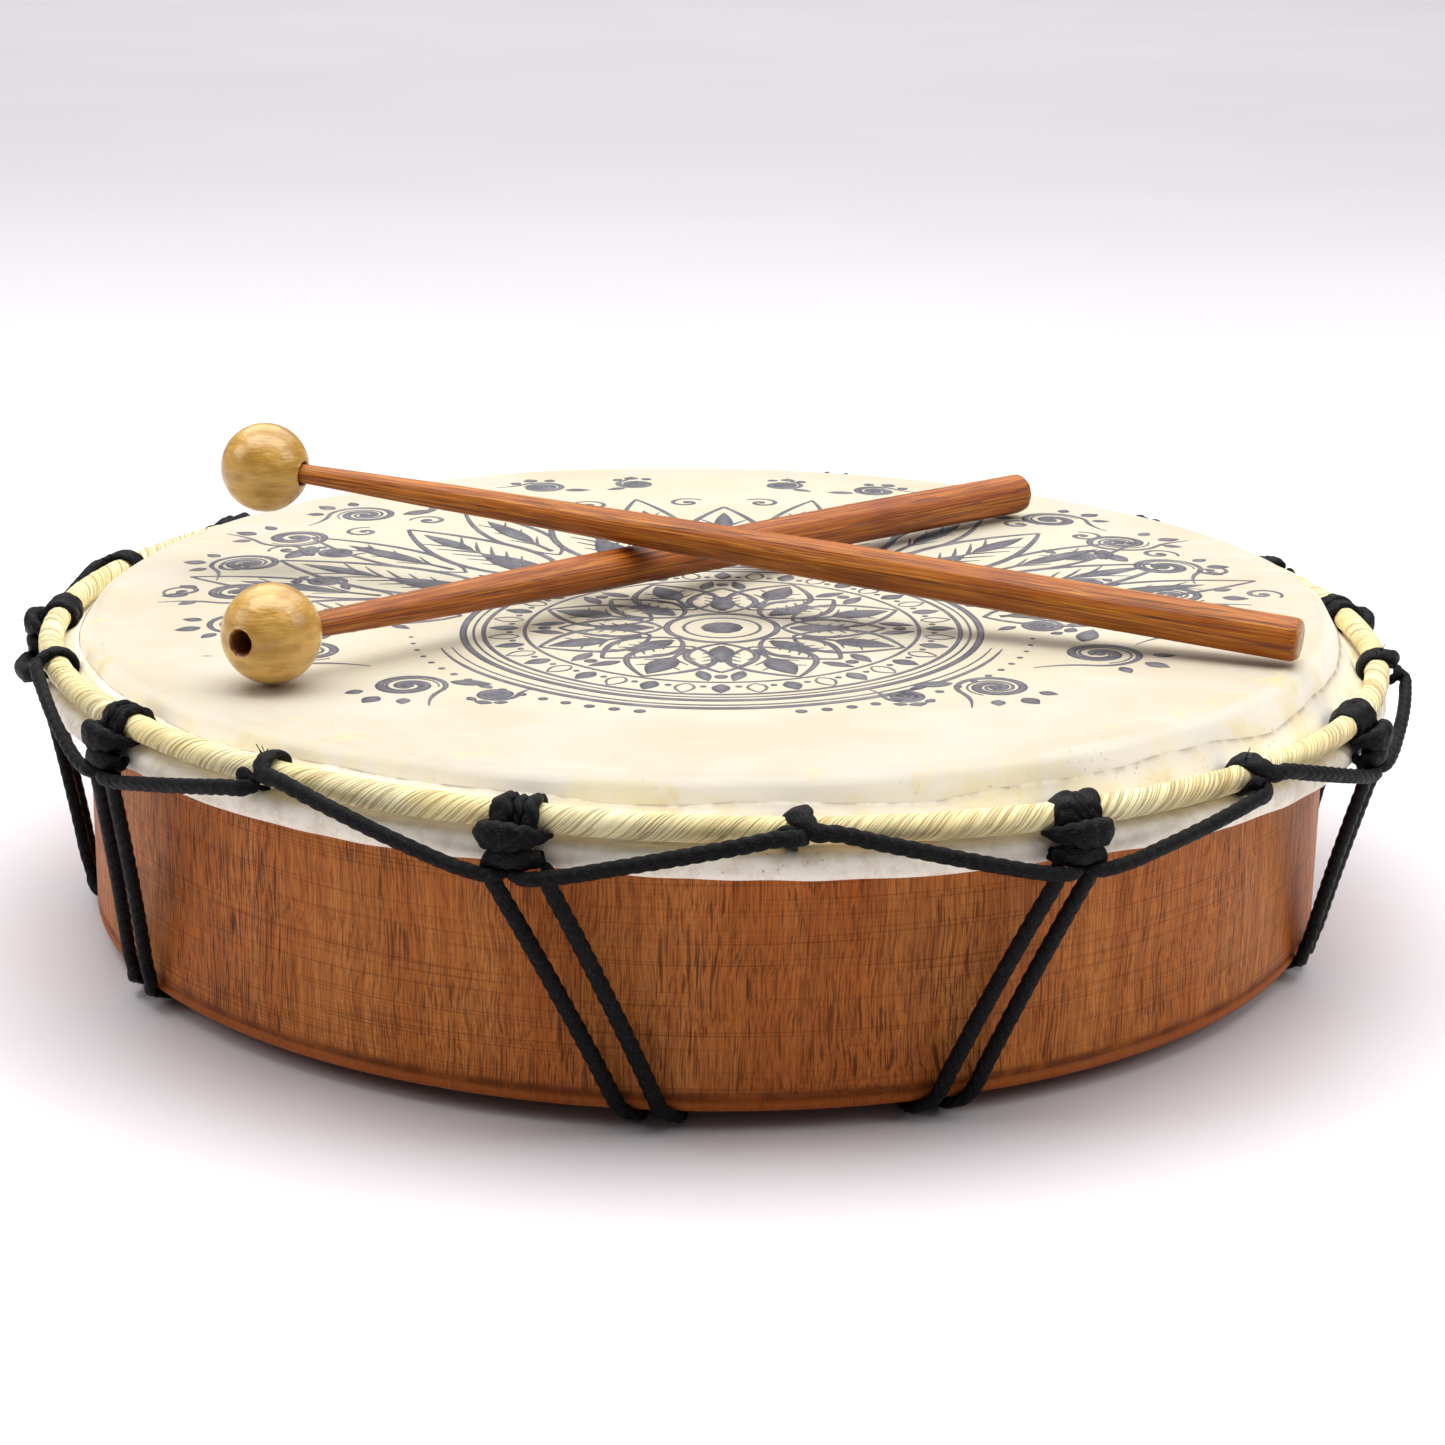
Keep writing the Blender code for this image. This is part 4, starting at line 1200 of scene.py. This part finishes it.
def build_print(material):
    """A rosette in a double ring, leaves fanned above it, and a wreath of scrolls and drops."""
    ink = Print()
    heart = (3.3, -36.0)

    def petal(inner, outer, turn, width, line, **how):
        """A leaf that points away from the rosette's heart."""
        ink.leaf(polar(heart, inner, turn), polar(heart, outer, turn), width, line, **how)

    for radius, width in ((60.3, 1.7), (57.9, 0.6), (55.6, 1.1), (46.0, 0.9), (13.0, 1.6), (9.0, 0.8)):
        ink.circle(heart, radius, width)
    ink.dot(heart, 5.0)
    for index in range(40):
        turn = index * 9
        petal(47.5, 54.6, turn, 4.2, 0.7, fill=index % 2 == 0)
        ink.dot(polar(heart, 49.5, turn + 4.5), 0.8)
    for index in range(8):
        turn = index * 45 + 22.5
        petal(18, 45, turn, 20, 1.6, veins=3)
        petal(28, 43, turn, 7.0, 0.6, fill=True)
        for way in (-1, 1):
            ink.leaf(polar(heart, 37, turn + way * 15), polar(heart, 45, turn + way * 19),
                     3.4, 0.5, fill=True)
    for index in range(8):
        turn = index * 45
        petal(14, 38, turn, 16, 1.7, veins=4)
        petal(16, 29, turn, 6.0, 0.6, fill=True)
        ink.dot(polar(heart, 41.5, turn), 1.6)
    # A partial ring under the rosette, with a bead chain
    sweep_turns = np.linspace(196, 344, 70)
    for radius, width in ((66.5, 1.6), (64.0, 0.5)):
        points = [polar(heart, radius, turn) for turn in sweep_turns]
        ink.ribbon(points, 0.25 + width * np.sin(np.linspace(0, math.pi, 70)) ** 0.6)
    for side in (-1, 1):
        for step in range(16):
            ink.dot(polar(heart, 70.8 + 0.10 * step, 270 + side * (14 + step * 4.6)), 1.35 - 0.05 * step)
    # Leaves fanned out behind the rosette
    for index in range(9):
        turn = 10 + index * 20
        far = 112 if index in (0, 8) else 130
        petal(63, far, turn, 23, 1.9, veins=5)
        petal(68, 97, turn, 9.0, 0.8, fill=True)
        petal(100, far - 7, turn, 5.0, 0.8, fill=True)
        if index < 8:
            between = turn + 10
            petal(84, 141, between, 15, 1.5, veins=3)
            petal(99, 127, between, 5.6, 0.8, fill=True)
            petal(62, 80, between, 5.2, 0.8, fill=True)
            for way in (-1, 1):
                ink.scroll(polar(heart, 136, between + way * 5.6), 5.2,
                           math.radians(between + way * 60), 1.3, way, 1.2)
    # Scrolls round the outside, in mirrored pairs
    middle = (-1.0, 14.0)
    spots = (
        (90, -58, 12.5, 250, -1), (64, -86, 10.5, 215, 1), (107, -32, 12.0, 280, -1),
        (114, -4, 12.5, 300, 1),
        (44, -93, 5.5, 180, -1), (79, -33, 6.5, 80, 1), (116, 26, 11.5, 320, -1), (108, 54, 12.0, 340, 1),
        (93, 81, 11.5, 350, -1), (72, 103, 9.5, 10, 1), (47, 117, 8.0, 30, -1), (21, 123, 6.5, 50, 1),
        (94, 8, 6.0, 200, 1), (95, 38, 6.0, 210, -1),
    )
    for side in (-1, 1):
        for index, (x, y, size, start, hand) in enumerate(spots):
            centre = (middle[0] + side * x, y)
            turn = math.radians(start if side > 0 else 180 - start)
            ink.scroll(centre, size * 0.84, turn, 1.9, hand * side, 2.0, tail=size * 0.9)
            ink.scroll(centre, size * 0.66, turn + 0.5, 1.5, hand * side, 0.7)
            outward = math.degrees(math.atan2(centre[1] - middle[1], centre[0] - middle[0]))
            for shift, reach, wide in ((-34, 1.0, 3.2), (0, 1.25, 4.2), (34, 1.0, 3.2)):
                fan = outward + shift
                ink.leaf(polar(centre, size * 0.95, fan),
                         polar(centre, size * (0.95 + 0.42 * reach), fan), wide, 0.6, fill=True)
            # A dark leaf on the inner side, which runs on towards the next scroll
            ahead = outward + 180 + 38 * hand * side
            ink.leaf(polar(centre, size * 0.90, ahead),
                     polar(centre, size * 1.75, ahead + 16 * hand * side),
                     size * 0.42, 0.6, fill=True)
    return ink.shape.build("head_print", material, "drum", "rawhide")


# ---------------------------------------------------------------- stage

def make_stage():
    """A pale table that runs out of sight, and soft light from above."""
    p = Paint("table")
    cloud = p.noise(p.object, 3.0, 2.0)
    tone = p.mix(p.between(cloud, 0.3, 0.7), (0.80, 0.77, 0.80, 1), (0.82, 0.79, 0.82, 1))
    surface = p.done(tone, 0.55, Specular_IOR_Level=0.2)
    steps = 64
    reaches = (0.0, 0.4, 1.0, 2.0, 4.0, 8.0, 30.0)
    vertices = [(reach * math.cos(TURN * i / steps), reach * math.sin(TURN * i / steps), 0.0)
                for reach in reaches[1:] for i in range(steps)]
    faces = [list(range(steps))]
    for ring in range(len(reaches) - 2):
        for i in range(steps):
            j = (i + 1) % steps
            near, far = ring * steps, (ring + 1) * steps
            faces.append([near + i, near + j, far + j, far + i])
    mesh = bpy.data.meshes.new("table")
    mesh.from_pydata(vertices, [], faces)
    mesh.materials.append(surface)
    table = bpy.data.objects.new("table", mesh)
    link(table)

    world = bpy.data.worlds.new("studio")
    world.use_nodes = True
    background = world.node_tree.nodes["Background"]
    background.inputs["Color"].default_value = (0.98, 0.97, 1.0, 1)
    background.inputs["Strength"].default_value = 0.15
    bpy.context.scene.world = world

    for name, place, target, size, depth, power in (
        ("softbox", (0.04, 0.0, 1.35), (0.04, 0.0, 0.05), 2.1, 0.86, 27.0),
        ("rear_light", (0.0, 3.6, 2.9), (0.0, 3.5, 0.0), 5.8, 4.4, 148.0),
        ("left_light", (-1.5, -0.20, 1.0), (0.0, -0.05, 0.05), 1.0, 0.7, 6.0),
        ("right_light", (1.5, -0.20, 1.0), (0.0, -0.05, 0.05), 1.0, 0.7, 7.5),
    ):
        lamp = bpy.data.lights.new(name, "AREA")
        lamp.shape = "RECTANGLE"
        lamp.size = size
        lamp.size_y = depth
        lamp.energy = power
        obj = bpy.data.objects.new(name, lamp)
        aim = Vector(target) - Vector(place)
        obj.matrix_world = Matrix.Translation(place) @ aim.to_track_quat("-Z", "Y").to_matrix().to_4x4()
        link(obj)


# ---------------------------------------------------------------- everything

def main():
    make_camera()
    bpy.context.scene.view_settings.view_transform = "Standard"
    make_stage()
    shell_paint = paint_shell()
    skin_paint = paint_skin()
    ink_paint = paint_ink()
    wrap_paint = paint_wrap()
    cord_paint = paint_cord()
    hoop_paint = paint_hoop()
    ball_paint = paint_ball()
    lower_paint = paint_stick("stained_wood_lower", colour(204, 122, 38), colour(104, 46, 6),
                              colour(158, 76, 16))
    upper_paint = paint_stick("stained_wood_upper", colour(214, 134, 42), colour(116, 54, 8),
                              colour(170, 86, 20))
    build_shell(shell_paint)
    build_skin(skin_paint)
    build_ring(wrap_paint)
    for number, entry in enumerate(STATIONS, 1):
        following = STATIONS[number % len(STATIONS)]
        next_angle = following[0] + (360 if following[0] < entry[0] else 0)
        build_hitch(number, entry, cord_paint)
        build_zigzag(number, entry, TIE_ANGLES[number - 1], following, next_angle, cord_paint)
        build_back_line(number, entry, cord_paint)
    build_grip(cord_paint)
    for level, ball, butt, taper, butt_radius, seed, wander, stick_paint in (
        ("lower", LOWER_BALL, LOWER_BUTT, LOWER_TAPER, 0.0053, 41, 16.0, lower_paint),
        ("upper", UPPER_BALL, UPPER_BUTT, UPPER_TAPER, 0.0050, 42, 0.0, upper_paint),
    ):
        body = f"beater_{level}"
        build_stick(f"stick_{level}", ball, butt, taper, butt_radius, seed, stick_paint, body,
                    f"{body}_stick")
        build_ball(f"ball_{level}", ball, butt, seed, wander, ball_paint, body, f"{body}_ball")
    build_print(ink_paint)
    for node in ("flesh_hoop", "crown_hoop"):
        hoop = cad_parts[node]
        hoop.data.materials.clear()
        hoop.data.materials.append(hoop_paint)


main()
